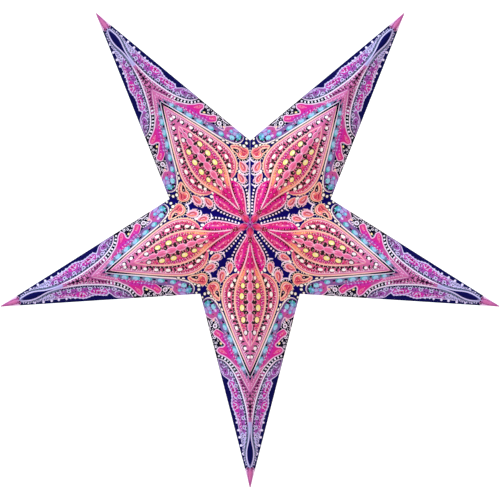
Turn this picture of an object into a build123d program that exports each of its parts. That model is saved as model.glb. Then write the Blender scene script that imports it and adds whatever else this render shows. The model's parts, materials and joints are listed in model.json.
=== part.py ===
from build123d import *
import math
import os

# Paper star lantern, opened out and fastened at its top notch.
# X runs to the right, Y to the back and Z up. The origin is the middle of the star,
# where a lamp hangs. Lengths are in millimetres and angles in degrees.

# The star, measured along its creases
point_names = ["upper_left", "left", "lower", "right", "upper_right"]
tip_radius = 315.0
notch_radius = 101.2
half_depth = 90.0
seam_angle = 90.0

# The card and its creases
card = 0.3
crease_gap = 0.2
ridge_fold_room = 0.2
valley_fold_room = 0.05
glued_ridge_gap = 2.4

# The glued laps inside
joining_lap_width = 8.0
joining_lap_from_centre = 30.0
joining_lap_from_notch = 8.0
closing_lap_width = 9.0
closing_lap_setback = 0.5
closing_lap_from_centre = 24.0
closing_lap_from_tip = 40.0

# The two flaps inside the front seam
front_flap_width = 12.0
front_flap_from_centre = 26.0
front_flap_from_notch = 20.0
front_dot_shares = [0.28, 0.72]

# The two flaps that stand in the back seam
back_flap_width = 11.0
back_flap_from_centre = 26.0
back_flap_from_inlet = 1.0
back_dot_shares = [0.2, 0.58]

# The hook and loop dots
dot_radius = 4.0
dot_thickness = 0.45
dot_clearance = 0.1

# The metal eyelets in the back flaps
eyelet_bore_radius = 2.5
eyelet_wall = 0.35
eyelet_flange_width = 1.5
eyelet_flange = 0.4
eyelet_room = 0.05
eyelet_from_flap_end = 6.0

# The round inlet for a lamp cord, cut half from each back panel beside the seam
inlet_radius = 5.5
inlet_rim = 3.0

# Worked out from the sizes above
wedge_angle = 180 / len(point_names)
ridge_length = math.hypot(tip_radius, half_depth)
valley_length = math.hypot(notch_radius, half_depth)
outer_face = ridge_fold_room + card
seam_gap = 2 * max(dot_thickness, eyelet_flange) + dot_clearance
inlet_from_centre = valley_length - inlet_rim - inlet_radius
front, back = -1, 1


def spot(radius, angle, depth):
    """A place at an angle round the star, with its depth towards the back."""
    turn = math.radians(angle)
    return Vector(radius * math.cos(turn), depth, radius * math.sin(turn))


def tip_angle(point):
    return seam_angle + wedge_angle * (2 * point + 1)


def notch_angle(point, half):
    """Half a of a point is the one nearer to the seam, going anticlockwise from it."""
    return tip_angle(point) + (wedge_angle if half == "b" else -wedge_angle)


def panel_plane(face, point, half):
    """The plane through a panel's three creases, with X along its ridge and Z outwards."""
    centre = spot(0, 0, face * half_depth)
    to_tip = spot(tip_radius, tip_angle(point), 0) - centre
    to_notch = spot(notch_radius, notch_angle(point, half), 0) - centre
    outward = to_tip.cross(to_notch).normalized()
    if outward.dot(centre) < 0:
        outward = -outward
    return Plane(origin=centre, x_dir=to_tip, z_dir=outward)


def valley_side(face, half):
    """Which side of its ridge a panel lies on, in its own plane."""
    return -face if half == "b" else face


# One panel in its own plane: along the ridge, then across towards the valley
sample = panel_plane(front, 0, "a")
notch_in_plane = sample.to_local_coords(spot(notch_radius, notch_angle(0, "a"), 0))
centre_corner = Vector(0, 0)
tip_corner = Vector(ridge_length, 0)
notch_corner = Vector(notch_in_plane.X, abs(notch_in_plane.Y))
along_valley = (notch_corner - centre_corner).normalized()
across_valley = Vector(along_valley.Y, -along_valley.X)
along_outline = (notch_corner - tip_corner).normalized()
across_outline = Vector(-along_outline.Y, along_outline.X)

# How far each panel leans from the flat plane in the middle of its valley
across_seam = spot(1, seam_angle - 90, 0)
seam_valley = spot(notch_radius, seam_angle, 0) - sample.origin
lean_sine = abs(sample.z_dir.cross(seam_valley).normalized().dot(across_seam))
lean_cosine = math.sqrt(1 - lean_sine**2)

# How far the edges stand back from the creases
edge_room = crease_gap / 2
valley_room = (outer_face + valley_fold_room) * lean_cosine / lean_sine + edge_room
seam_room = (seam_gap / 2 + outer_face * lean_cosine) / lean_sine


def crossing(start, along, other_start, other_along):
    """Where two lines in a panel's plane cross."""
    spread = along.X * other_along.Y - along.Y * other_along.X
    apart = other_start - start
    return start + along * ((apart.X * other_along.Y - apart.Y * other_along.X) / spread)


def panel_outline(ridge_at_centre, at_valley):
    """The three corners of a panel whose edges stand back from its creases."""
    ridge_start = Vector(0, ridge_at_centre)
    ridge_along = Vector(ridge_length, edge_room) - ridge_start
    outline_start = tip_corner + across_outline * edge_room
    valley_start = centre_corner + across_valley * at_valley
    return [
        crossing(ridge_start, ridge_along, valley_start, along_valley),
        crossing(ridge_start, ridge_along, outline_start, along_outline),
        crossing(valley_start, along_valley, outline_start, along_outline),
    ]


def plate(plane, corners, side, low, high):
    """A flat piece of card in a panel's plane, between two heights over its creases."""
    shape = Polygon(*[(c.X, side * c.Y) for c in corners], align=None)
    return extrude(plane.offset(low) * shape, amount=high - low, dir=plane.z_dir)


def strip(start, along, across, first, last, near, width):
    """The corners of a glued lap beside a crease, with both ends cut at 45 degrees."""
    return [
        start + along * first + across * near,
        start + along * last + across * near,
        start + along * (last - width) + across * (near + width),
        start + along * (first + width) + across * (near + width),
    ]


def at_seam(point, half):
    """The seam runs between half a of the first point and half b of the last one."""
    return (point, half) in [(0, "a"), (len(point_names) - 1, "b")]


def seam_plane(face):
    """The flat plane in the middle of the seam, with X along the valley to the notch."""
    centre = spot(0, 0, face * half_depth)
    return Plane(origin=centre, x_dir=spot(notch_radius, seam_angle, 0) - centre, z_dir=across_seam)


def seam_spot(face, along, outward):
    """A place in the seam's plane: along the valley, then outwards from it."""
    return seam_plane(face).from_local_coords(Vector(along, -face * outward))


def cord_inlet():
    """The round tool that cuts the inlet, square to the back valley."""
    reach = back_flap_width + inlet_radius
    outward = seam_spot(back, 0, 1) - seam_spot(back, 0, 0)
    middle = Plane(origin=seam_spot(back, inlet_from_centre, 0), z_dir=outward)
    return extrude(middle * Circle(inlet_radius), amount=reach, both=True)


def panel(face, point, half):
    """One flat panel between a ridge, a valley and the star's outline."""
    ridge_at_centre = edge_room if face == front else glued_ridge_gap / 2
    at_valley = seam_room if at_seam(point, half) else valley_room
    corners = panel_outline(ridge_at_centre, at_valley)
    plane = panel_plane(face, point, half)
    body = plate(plane, corners, valley_side(face, half), ridge_fold_room, outer_face)
    if face == back and at_seam(point, half):
        body -= cord_inlet()
    return body


def joining_lap(face, point):
    """The lap glued inside half a of a point, that holds it to the point before."""
    last = valley_length - joining_lap_from_notch
    corners = strip(centre_corner, along_valley, across_valley,
                    joining_lap_from_centre, last, valley_room, joining_lap_width)
    side = valley_side(face, "a")
    return plate(panel_plane(face, point, "a"), corners, side, ridge_fold_room - card, ridge_fold_room)


def closing_lap(point):
    """The lap glued inside half b of a point's back, that shuts its sheet of card."""
    last = ridge_length - closing_lap_from_tip
    near = glued_ridge_gap / 2 + closing_lap_setback
    corners = strip(centre_corner, Vector(1, 0), Vector(0, 1),
                    closing_lap_from_centre, last, near, closing_lap_width)
    side = valley_side(back, "b")
    return plate(panel_plane(back, point, "b"), corners, side, ridge_fold_room - card, ridge_fold_room)


def flap_plate(face, side, near, far, first, last):
    """A seam flap, from near the crease to far from it, with its outer corners cut off."""
    cut = abs(far - near) / 2
    turned = math.copysign(cut, far - near)
    corners = [(first, near), (last, near), (last, far - turned),
               (last - cut, far), (first + cut, far), (first, far - turned)]
    shape = Polygon(*[(along, -face * outward) for along, outward in corners], align=None)
    start = seam_plane(face).offset(side * seam_gap / 2)
    return extrude(start * shape, amount=card, dir=across_seam * side)


def seam_disc(face, along, outward, radius, low, high, side):
    """A disc square to the seam's plane, between two distances from it."""
    centre = seam_spot(face, along, outward) + across_seam * (side * low)
    plane = Plane(origin=centre, z_dir=across_seam * side)
    return extrude(plane * Circle(radius), amount=high - low)


# The front flaps start at the panels' inner edge, and the back flaps on their outer face
front_flap_near = seam_room * lean_cosine + ridge_fold_room * lean_sine
back_flap_near = ((seam_gap / 2 + card + outer_face * lean_cosine) / lean_sine) * lean_cosine
back_flap_near += outer_face * lean_sine
front_flap_far = front_flap_near - front_flap_width
back_flap_far = back_flap_near + back_flap_width
front_flap_end = valley_length - front_flap_from_notch
back_flap_end = inlet_from_centre - inlet_radius - back_flap_from_inlet
eyelet_along = back_flap_end - eyelet_from_flap_end
eyelet_outward = (back_flap_near + back_flap_far) / 2
eyelet_barrel_radius = eyelet_bore_radius + eyelet_wall


def front_flap(side):
    """The flap behind the front seam. It turns inwards from its panel."""
    return flap_plate(front, side, front_flap_near, front_flap_far, front_flap_from_centre, front_flap_end)


def back_flap(side):
    """The flap that stands out of the back seam, with the hole for its eyelet."""
    flap = flap_plate(back, side, back_flap_near, back_flap_far, back_flap_from_centre, back_flap_end)
    hole_radius = eyelet_barrel_radius + eyelet_room
    return flap - seam_disc(back, eyelet_along, eyelet_outward, hole_radius, 0, seam_gap / 2 + card, side)


def eyelet(side):
    """A metal ring through the back flap, with a flange on each face of the card."""
    flange_radius = eyelet_barrel_radius + eyelet_flange_width
    inner, outer = seam_gap / 2, seam_gap / 2 + card
    inner_flange = (inner - eyelet_flange, inner)
    barrel = (inner, outer)
    outer_flange = (outer, outer + eyelet_flange)
    place = (back, eyelet_along, eyelet_outward)
    ring = seam_disc(*place, flange_radius, *inner_flange, side)
    ring += seam_disc(*place, eyelet_barrel_radius, *barrel, side)
    ring += seam_disc(*place, flange_radius, *outer_flange, side)
    return ring - seam_disc(*place, eyelet_bore_radius, 0, outer + 2 * eyelet_flange, side)


def dots(face, side):
    """The round fastening dots on one flap, each facing its partner across the seam."""
    if face == front:
        first, last, shares = front_flap_from_centre, front_flap_end, front_dot_shares
        outward = (front_flap_near + front_flap_far) / 2
    else:
        first, last, shares = back_flap_from_centre, back_flap_end, back_dot_shares
        outward = (back_flap_near + back_flap_far) / 2
    faces = (seam_gap / 2 - dot_thickness, seam_gap / 2)
    places = [first + share * (last - first) for share in shares]
    return Compound([seam_disc(face, along, outward, dot_radius, *faces, side) for along in places])


def all_parts():
    """Every piece of the lantern, by its name."""
    parts = {}
    for number, point in enumerate(point_names):
        for half in "ab":
            parts[f"{point}_front_panel_{half}"] = panel(front, number, half)
            parts[f"{point}_back_panel_{half}"] = panel(back, number, half)
        parts[f"{point}_closing_lap"] = closing_lap(number)
        if number > 0:
            parts[f"{point}_front_joining_lap"] = joining_lap(front, number)
            parts[f"{point}_back_joining_lap"] = joining_lap(back, number)
    for name, side in (("left", -1), ("right", 1)):
        parts[f"front_seam_flap_{name}"] = front_flap(side)
        parts[f"back_seam_flap_{name}"] = back_flap(side)
        parts[f"hanging_eyelet_{name}"] = eyelet(side)
    parts["front_hook_dots"] = dots(front, -1)
    parts["front_loop_dots"] = dots(front, 1)
    parts["back_hook_dots"] = dots(back, -1)
    parts["back_loop_dots"] = dots(back, 1)
    return parts


os.makedirs("parts", exist_ok=True)
for name, piece in all_parts().items():
    export_step(piece, f"parts/{name}.step")
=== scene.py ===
import json
import math

import bmesh
import bpy
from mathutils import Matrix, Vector
from mathutils.geometry import delaunay_2d_cdt


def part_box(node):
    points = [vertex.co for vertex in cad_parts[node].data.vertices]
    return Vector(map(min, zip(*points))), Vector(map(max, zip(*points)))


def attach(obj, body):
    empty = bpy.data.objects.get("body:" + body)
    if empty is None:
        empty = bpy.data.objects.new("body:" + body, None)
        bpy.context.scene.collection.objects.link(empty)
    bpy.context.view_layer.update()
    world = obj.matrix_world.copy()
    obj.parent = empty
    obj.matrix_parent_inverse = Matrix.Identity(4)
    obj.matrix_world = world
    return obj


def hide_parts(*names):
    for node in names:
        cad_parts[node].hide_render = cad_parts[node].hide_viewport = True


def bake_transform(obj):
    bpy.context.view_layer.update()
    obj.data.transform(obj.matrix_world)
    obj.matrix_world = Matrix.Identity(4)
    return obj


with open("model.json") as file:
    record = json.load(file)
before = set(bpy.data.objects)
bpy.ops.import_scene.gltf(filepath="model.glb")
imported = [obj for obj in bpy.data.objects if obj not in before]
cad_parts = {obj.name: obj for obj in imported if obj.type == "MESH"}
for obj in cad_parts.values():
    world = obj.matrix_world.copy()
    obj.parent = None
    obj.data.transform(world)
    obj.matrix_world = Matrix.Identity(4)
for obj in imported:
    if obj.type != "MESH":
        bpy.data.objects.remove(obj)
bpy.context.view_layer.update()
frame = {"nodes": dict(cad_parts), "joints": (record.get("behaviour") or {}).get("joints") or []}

# Places are in metres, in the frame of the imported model. The print is drawn in millimetres.
MM = 0.001

# Camera: where the star stands in the photograph's 500 x 500 pixels, and how large it is there
PHOTO_PIXELS = 500
STAR_CENTRE_PIXEL = (250.1, 225.3)
STAR_TIP_PIXELS = 262.0
CAMERA_DISTANCE = 3.0
CAMERA_REACH = 50
SENSOR_MM = 36

# Lamps: each one's place, size, power and colour, and the colour of the light all round
LAMPS = {
    "key_light": ((-2.0, -4.7, 6.0), 3.0, 410, (0.54, 0.92, 1.0)),
    "front_light": ((0.0, -3.1, 0.0), 0.36, 23, (1.0, 0.78, 0.7)),
    "back_light": ((1.4, 4.7, 1.0), 2.6, 150, (0.92, 0.96, 1.0)),
}
ROOM_LIGHT = (0.64, 0.59, 0.53)

# Floor and backdrop: where each stands, its size, its grey, and its glow near the star and far off
FLOOR = -0.42
FLOOR_SIZE = 60
FLOOR_GREY = 0.75
FLOOR_GLOW = (0.24, 0.62)
BACKDROP = 0.14
BACKDROP_SIZE = 8
BACKDROP_GREY = 0.45
BACKDROP_GLOW = (0.62, 0.8)
# how far from the middle the near glow ends and the far glow starts
GLOW_NEAR = 0.8
GLOW_FAR = 4.0

# Card: its bare colour, how near two corners are one, and the slot that the front seam leaves
BARE_CARD = (0.84, 0.80, 0.74)
TIGHT = 0.004 * MM
SEAM_SLOT = 0.16 * MM
# how far a sheet's side may lean from a crease, and how far from a side a place still lies on it,
# across the side and as a share of its length
CREASE_LEAN = 0.01
SIDE_SLACK = 0.003 * MM
SHARE_SLACK = 1e-5

# Crease strips: the steps across the bend and along it, and how far a strip reaches onto a panel
CREASE_SIDES = 6
CREASE_SECTIONS = 64
CREASE_TAB = 0.1 * MM
# where the strips and the flaps take their inks, in the print's millimetres
RIDGE_INKS = ((0.3, 0.05), (314.8, 0.05))
OUTLINE_INKS = ((81.9, 59.4), (314.5, 0.1))
VALLEY_INKS = ((1, 0.6), (81, 58.8))
FLAP_INK = 60
# how squarely a face of a flap looks to its printed side
FLAP_FACING = 0.9

# Eyelets: the bore's radius, the metal, the steps round it, and the angle in degrees from which
# a corner stays sharp
EYELET_BORE = 2.5 * MM
EYELET_WALL = 0.35 * MM
EYELET_FLANGE = 0.4 * MM
EYELET_STEPS = 48
EYELET_CORNER = 40

# Hook and loop dots: the gap that parts two dots of a node, a dot's sides, and the share of its
# height that is woven
DOT_SPLIT = 1.0 * MM
DOT_SIDES = 40
WOVEN_SHARE = 0.4
# the threads on a dot, how thick they are, the radius of their arches, how far along a hook is cut,
# and the turns between a thread and the next, round the dot and on the spot
THREADS = 90
THREAD = 0.035 * MM
THREAD_ARCH = 0.22 * MM
HOOK_CUT_SHARE = 0.3
GOLDEN_ANGLE = 2.39996
THREAD_TURN = 1.3

# Print: where its inks turn from those of the middle to those of the tips, in millimetres
NEAR_INKS = 40
FAR_INKS = 200
# how near two places of it are one, on an outline and where the cut is made
SAME_PLACE = 0.01
CUT_GRAIN = 1e-4
# how far it may be moved until its cut comes out, the area in square millimetres that the cut may
# be off by, and how many of its triangles are proofed
PRINT_SHIFTS = (0.003, 0.007, 0.011, 0.017, 0.023, 0.031, 0.037, 0.043)
PRINT_SLACK = 0.05
PROOFED = 200

POINTS = ["upper_left", "left", "lower", "right", "upper_right"]
HALVES = ["a", "b"]
BACK_FLAP_BODIES = {"left": "upper_left_back_a", "right": "upper_right_back_b"}
joints = {joint["name"]: joint for joint in frame["joints"]}


# The print: a traditional paisley, drawn once for half a point and mirrored over every crease.
# Along runs down the ridge from the middle of the star to the tip, across runs from the ridge to
# the outline, both in millimetres as seen from the front. Each shape lies over those before it.

# The steps between two points of a smooth line, and of a smooth closed outline
CURVE_STEPS, LOOP_STEPS = 5, 4
# how far a shape that is cut by the ridge runs past it
PAST_RIDGE = -3
# a stroke's width at its ends, as a share of its full width, and how fast it grows along its line
STROKE_END, STROKE_GROWTH = 0.25, 3
# a squiggle's lean in degrees, and its bend and width as shares of its length
SQUIGGLE_LEAN, SQUIGGLE_BEND, SQUIGGLE_WIDTH = 25, 0.35, 0.34
# a ring's width, and its heart's length and width, as shares of its length
RING_WIDTH, HEART_LENGTH, HEART_WIDTH = 0.88, 0.52, 0.42

# The inks, each with its colour at the middle of the star and at the tips
inks = {
    "navy": ("#0a0062", "#06044a"),
    "night": ("#140424", "#08041e"),
    "olive": ("#301c1c", "#221a2e"),
    "maroon": ("#8c1638", "#5e1a48"),
    "peach": ("#ffc0a2", "#f8c2cc"),
    "cream": ("#ffe4da", "#eedcf2"),
    "pearl": ("#fce2f4", "#f1e4fb"),
    "white": ("#fff1ea", "#fdf0fb"),
    "blush": ("#fabcd4", "#e4b0dc"),
    "yellow": ("#ffe68c", "#ffdcac"),
    "orange": ("#f89468", "#ea8080"),
    "coral": ("#f0707a", "#e86484"),
    "crimson": ("#d82872", "#c4327e"),
    "scarlet": ("#e04460", "#dc447c"),
    "magenta": ("#dc2498", "#cc30a8"),
    "fuchsia": ("#de1c80", "#d42892"),
    "pink": ("#ee6490", "#e468a6"),
    "rose": ("#e65c82", "#ce6aa6"),
    "mauve": ("#cc5c92", "#b35496"),
    "purple": ("#b85ab8", "#a04ca8"),
    "plum": ("#75589c", "#84548e"),
    "violet": ("#b49ad8", "#ad9fd8"),
    "lilac": ("#e6c6ec", "#d4c0f0"),
    "slate": ("#7a8cb4", "#6e7298"),
    "teal": ("#3fb2a6", "#4aa6ae"),
    "azure": ("#6aa4d6", "#749ccf"),
    "sky": ("#9ad6ea", "#9cc2e2"),
}
motifs = []


def paint(ink, outline):
    """Prints one flat shape over what is there already."""
    motifs.append((ink, outline))


def smooth(before, start, end, after, t):
    """A place between two points of a smooth line, at a share t of the way."""
    place = []
    for a, b, c, d in zip(before, start, end, after):
        place.append(0.5 * (2 * b + (c - a) * t + (2 * a - 5 * b + 4 * c - d) * t**2
                            + (3 * b - a - 3 * c + d) * t**3))
    return tuple(place)


def curve(points, steps=CURVE_STEPS):
    """A smooth line through given points."""
    ends = [points[0]] + points + [points[-1]]
    line = []
    for four in zip(ends, ends[1:], ends[2:], ends[3:]):
        line += [smooth(*four, step / steps) for step in range(steps)]
    return line + [points[-1]]


def loop(points):
    """A smooth closed outline through given points."""
    line = []
    for number in range(len(points)):
        four = [points[(number + ahead) % len(points)] for ahead in (-1, 0, 1, 2)]
        line += [smooth(*four, step / LOOP_STEPS) for step in range(LOOP_STEPS)]
    return line


def patch(ink, points):
    """A smooth closed patch of ink round given points."""
    paint(ink, loop(points))


def to_ridge(line):
    """The ground between a line and the ridge."""
    return line + [(line[-1][0], PAST_RIDGE), (line[0][0], PAST_RIDGE)]


def beside(line, distance):
    """A line at a steady distance from another, on its left for a positive distance."""
    moved = []
    for number, (along, across) in enumerate(line):
        ahead = line[min(number + 1, len(line) - 1)]
        behind = line[max(number - 1, 0)]
        run, rise = ahead[0] - behind[0], ahead[1] - behind[1]
        length = math.hypot(run, rise)
        moved.append((along - rise / length * distance, across + run / length * distance))
    return moved


def stroke(ink, line, width):
    """A drawn line, which runs out to a point at each end."""
    last = len(line) - 1
    grown = [min(1, STROKE_END + STROKE_GROWTH * min(n, last - n) / last) for n in range(last + 1)]
    reach = [width / 2 * share for share in grown]
    left = [beside(line, r)[n] for n, r in enumerate(reach)]
    right = [beside(line, -r)[n] for n, r in enumerate(reach)]
    paint(ink, left + right[::-1])


def draw(ink, points, width):
    """A stroke along a smooth line through given points."""
    stroke(ink, curve(points), width)


def mound(ink, points):
    """The ground between the ridge and a smooth line through given points."""
    paint(ink, to_ridge(curve(points)))


def oval(ink, along, across, length, width, turn=0, sides=12):
    """An oval bead, turned by degrees."""
    lean = math.radians(turn)
    outline = []
    for side in range(sides):
        angle = 2 * math.pi * side / sides
        x, y = length / 2 * math.cos(angle), width / 2 * math.sin(angle)
        outline.append((along + x * math.cos(lean) - y * math.sin(lean),
                        across + x * math.sin(lean) + y * math.cos(lean)))
    paint(ink, outline)


def ring(ink, ground, along, across, size, turn=0):
    """A bead with a dark heart."""
    oval(ink, along, across, size, size * RING_WIDTH, turn)
    oval(ground, along, across, size * HEART_LENGTH, size * HEART_WIDTH, turn, 8)


def places(line, spacing, start=0.0):
    """Evenly spaced places along a line from a start on, each with the line's direction there."""
    found, left = [], start
    for (x0, y0), (x1, y1) in zip(line, line[1:]):
        length = math.hypot(x1 - x0, y1 - y0)
        while left <= length and length > 0:
            share = left / length
            direction = math.degrees(math.atan2(y1 - y0, x1 - x0))
            found.append((x0 + (x1 - x0) * share, y0 + (y1 - y0) * share, direction))
            left += spacing
        left -= length
    return found


def beads(ink, line, spacing, length, width, start=0.0, lean=0, sides=8):
    """A row of beads along a line, each at a lean to it."""
    for along, across, turn in places(line, spacing, start):
        oval(ink, along, across, length, width, turn + lean, sides)


def squiggles(ink, line, spacing, size, start=0.0, lean=0):
    """A row of small curled strokes, which bend to and fro along a line, at a lean to it."""
    for number, (along, across, turn) in enumerate(places(line, spacing, start)):
        side = 1 if number % 2 else -1
        way = math.radians(turn + lean + side * SQUIGGLE_LEAN)
        x, y = math.cos(way) * size / 2, math.sin(way) * size / 2
        bend = side * SQUIGGLE_BEND
        bent = [(along - x, across - y), (along - y * bend, across + x * bend), (along + x, across + y)]
        stroke(ink, curve(bent, 3), size * SQUIGGLE_WIDTH)


def curls(ink, points, spacing, size, start=0.0, lean=0):
    """Squiggles along a smooth line through given points."""
    squiggles(ink, curve(points), spacing, size, start, lean)


# The lines that the motifs follow. A slice takes the part of a line that a motif needs.
inner_line = curve([(21, 0.1), (24, 0.8), (28, 1.6), (33, 2.6), (40, 4.3), (46.5, 6.4), (53, 8.9),
                    (58, 10.9), (63, 13.1), (71, 15.8), (79, 17.3), (88, 17.9), (96, 17.4), (104, 15.9),
                    (112.5, 13.6), (121, 10.6), (130.8, 7), (138, 3.6), (144, 0)])
outer_line = curve([(57, 15.5), (58.4, 19.5), (60.8, 23), (65, 27.4), (70, 30.6), (77, 32.6), (86, 33.2),
                    (96, 31.6), (104, 29), (112.5, 26), (121, 22.6), (130.5, 18.9), (143, 13.6),
                    (151.7, 10), (160, 6.3), (168, 2.9), (174, 0)])
strip_line = curve([(90.5, 56), (87.6, 52.5), (86.8, 48.5), (88.2, 44), (92.5, 39.8), (98.3, 36.2),
                    (104, 32.8), (112.5, 29.2), (121, 25.9), (130, 22), (140, 17.7), (150, 13.6),
                    (160, 9.5), (170, 5.2), (181, 0)])
first_arc = curve([(152, 39.6), (155.5, 32.5), (159, 26.6), (163.3, 21.7), (168.3, 17), (174, 13),
                   (181, 9.2), (188.6, 5.2), (198, 0)])
second_arc = curve([(160.2, 40), (160.8, 35), (163.3, 29.4), (168.3, 24.4), (173, 21), (180, 16.9),
                    (189, 13), (200, 9.2), (210, 6.2), (220, 4), (230, 2.6), (240, 1.5), (250, 0.9)])
scallops = curve([(161.4, 38.2), (168, 36.6), (175.3, 34.6), (180.6, 31.2), (183.2, 27.4), (185.6, 24.4),
                  (189.6, 26), (195, 24.2), (200.5, 22), (206, 21.2), (211.3, 21.6), (216.7, 21.2),
                  (221.2, 19.4), (226.6, 17), (234.7, 14.8), (246, 12.6), (254.6, 10.8), (264.6, 9),
                  (274, 7.2), (282, 5.4), (290, 3)])


def side_strip():
    """The purple strip along the outline, from the second arc to the lens near the tip."""
    paint("purple", second_arc + [(256, 0.5), (292, 0.5)] + scallops[::-1])
    # its grey end beside the flames, with lilac curls
    patch("plum", [(161, 37.6), (163, 31), (168, 26.6), (175, 23.6), (181, 22), (183, 25), (180.6, 29.6),
                   (175, 33.6), (168, 36)])
    patch("purple", [(172, 31.6), (174, 27.6), (178.6, 25.4), (181.6, 26.6), (179, 30.6), (175, 33)])
    for line in ([(164.6, 35.6), (165.6, 31.4), (168.6, 29.4), (170.4, 31.4), (168.4, 33.4)],
                 [(170.6, 35.4), (173.4, 33.6), (177.4, 31.6), (179.6, 28.4)],
                 [(170.4, 27.4), (174, 25.4), (178, 25.8), (179.4, 28)],
                 [(182.6, 20.4), (185.4, 20.8), (186, 23.2)]):
        draw("lilac", line, 1.1)
    squiggles("night", beside(scallops, -2.4)[2:18], 3.6, 2.4, 1.0, 60)
    oval("night", 174.6, 29.4, 2.4, 1.8, -30, 8)
    # its magenta hearts
    for heart in ([(186.6, 20.4), (193, 17), (202, 14.8), (208, 15.6), (204, 19.4), (196, 22.2),
                   (189, 23.6)],
                  [(210, 15.6), (216.4, 12.8), (224, 13.6), (223, 17.6), (217, 20), (211.6, 18.8)],
                  [(226, 12.8), (234, 10.8), (243, 9.8), (241, 12.2), (233, 14.4), (227, 15.2)]):
        patch("magenta", heart)
    for flake in ([(192, 20.4), (197, 18.2), (203.6, 16.8), (200, 19.4), (194.6, 21.4)],
                  [(213, 17.6), (216.6, 14.8), (221.6, 15), (219.6, 17.4), (215.6, 18.8)]):
        patch("fuchsia", flake)
    for line in ([(189, 22), (195, 21), (200.6, 18.6), (204.6, 16.8)],
                 [(211.6, 17.4), (215, 16.2), (218, 17.6), (220.6, 16.4)],
                 [(228, 13.6), (233, 12.4), (238, 12), (242, 10.8)],
                 [(206.6, 20.6), (208.4, 18.2), (208, 15.4)],
                 [(224.6, 16.6), (225.6, 14.6), (224.8, 12.4)]):
        draw("night", line, 0.9)
    for line in ([(187.6, 23.2), (193, 19.4), (199, 17.4)], [(201.4, 20.2), (206, 18.2), (208.6, 14.6)],
                 [(213, 19.2), (214.6, 15.6), (219, 13.8)], [(230, 14.6), (235, 12.8), (240, 12)],
                 [(246, 11.2), (251, 9.2), (256, 9.8)], [(262, 9.4), (267, 7.6), (271, 8.2)]):
        draw("lilac", line, 1.1)
    patch("violet", [(248, 8.4), (253, 4), (262, 5), (274, 6.2), (288, 3), (277, 6.8), (263, 9.4),
                     (251, 11)])
    curls("plum", [(226, 11.6), (236, 9.6), (246, 8.4), (254, 8)], 3.0, 2.4, 0.8, 60)
    curls("lilac", [(224, 13), (234, 11.6), (244, 10), (256, 8.6)], 3.6, 1.8, 2.0, 40)
    curls("night", [(186, 18.8), (196, 15.6), (206, 13.6), (218, 11.6), (232, 9.6), (246, 7.6)],
          3.7, 2.4, 1.0, 50)
    curls("night", [(247, 10.6), (256, 7.6), (266, 8.8), (276, 5.6)], 3.7, 2.2, 1.0, 50)
    squiggles("lilac", beside(scallops, -4.6)[24:62], 4.4, 3.0, 0.6, 70)
    squiggles("plum", beside(scallops, -6.4)[30:62], 5.2, 2.6, 2.4, 20)
    # the grey band with its dark dashes, outside the second arc
    stroke("slate", beside(second_arc, 2.4)[3:], 2.8)
    for number, (along, across, turn) in enumerate(places(beside(second_arc, 2.1)[4:], 2.9, 0.6)):
        oval("night", along, across, 2.3 + 0.5 * (number % 3), 1.5 + 0.4 * (number % 2),
             turn + 50 - 25 * (number % 2), 6)
    squiggles("night", beside(second_arc, 3.7)[6:], 4.2, 2.2, 2.6, 60)
    squiggles("lilac", beside(second_arc, 3.2)[6:], 4.2, 2.4, 0.5, -30)
    for along, across in [(178.5, 22.0), (191.7, 16.6), (205, 12.8), (217.8, 10.2), (230.5, 7.9),
                          (242, 6.7), (252.8, 6.2)]:
        oval("lilac", along, across, 5.0, 4.0, -12)
        oval("night", along, across, 3.0, 1.9, -12, 8)
        oval("violet", along - 0.6, across + 0.2, 1.1, 0.9, 0, 6)
    # its pale scalloped edge
    stroke("lilac", scallops[:86], 1.1)
    beads("lilac", scallops[24:72], 4.1, 2.6, 2.2, 1.0)
    for along, across, size in [(226.4, 17.4, 3.2), (231.6, 16.2, 2.6), (236.6, 15.4, 3.4),
                                (245.8, 13.4, 4.0), (254.4, 12, 4.0), (264.3, 10.4, 4.0), (274.2, 8, 3.6),
                                (282, 5.8, 3.0)]:
        oval("lilac", along, across, size, size * 0.78, 62, 10)
        oval("pearl", along + 0.2, across + 0.4, size * 0.5, size * 0.4, 62, 8)
    beads("blush", beside(scallops, -2.2)[28:76], 4.3, 1.8, 1.5, 3.0, 0, 6)


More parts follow.
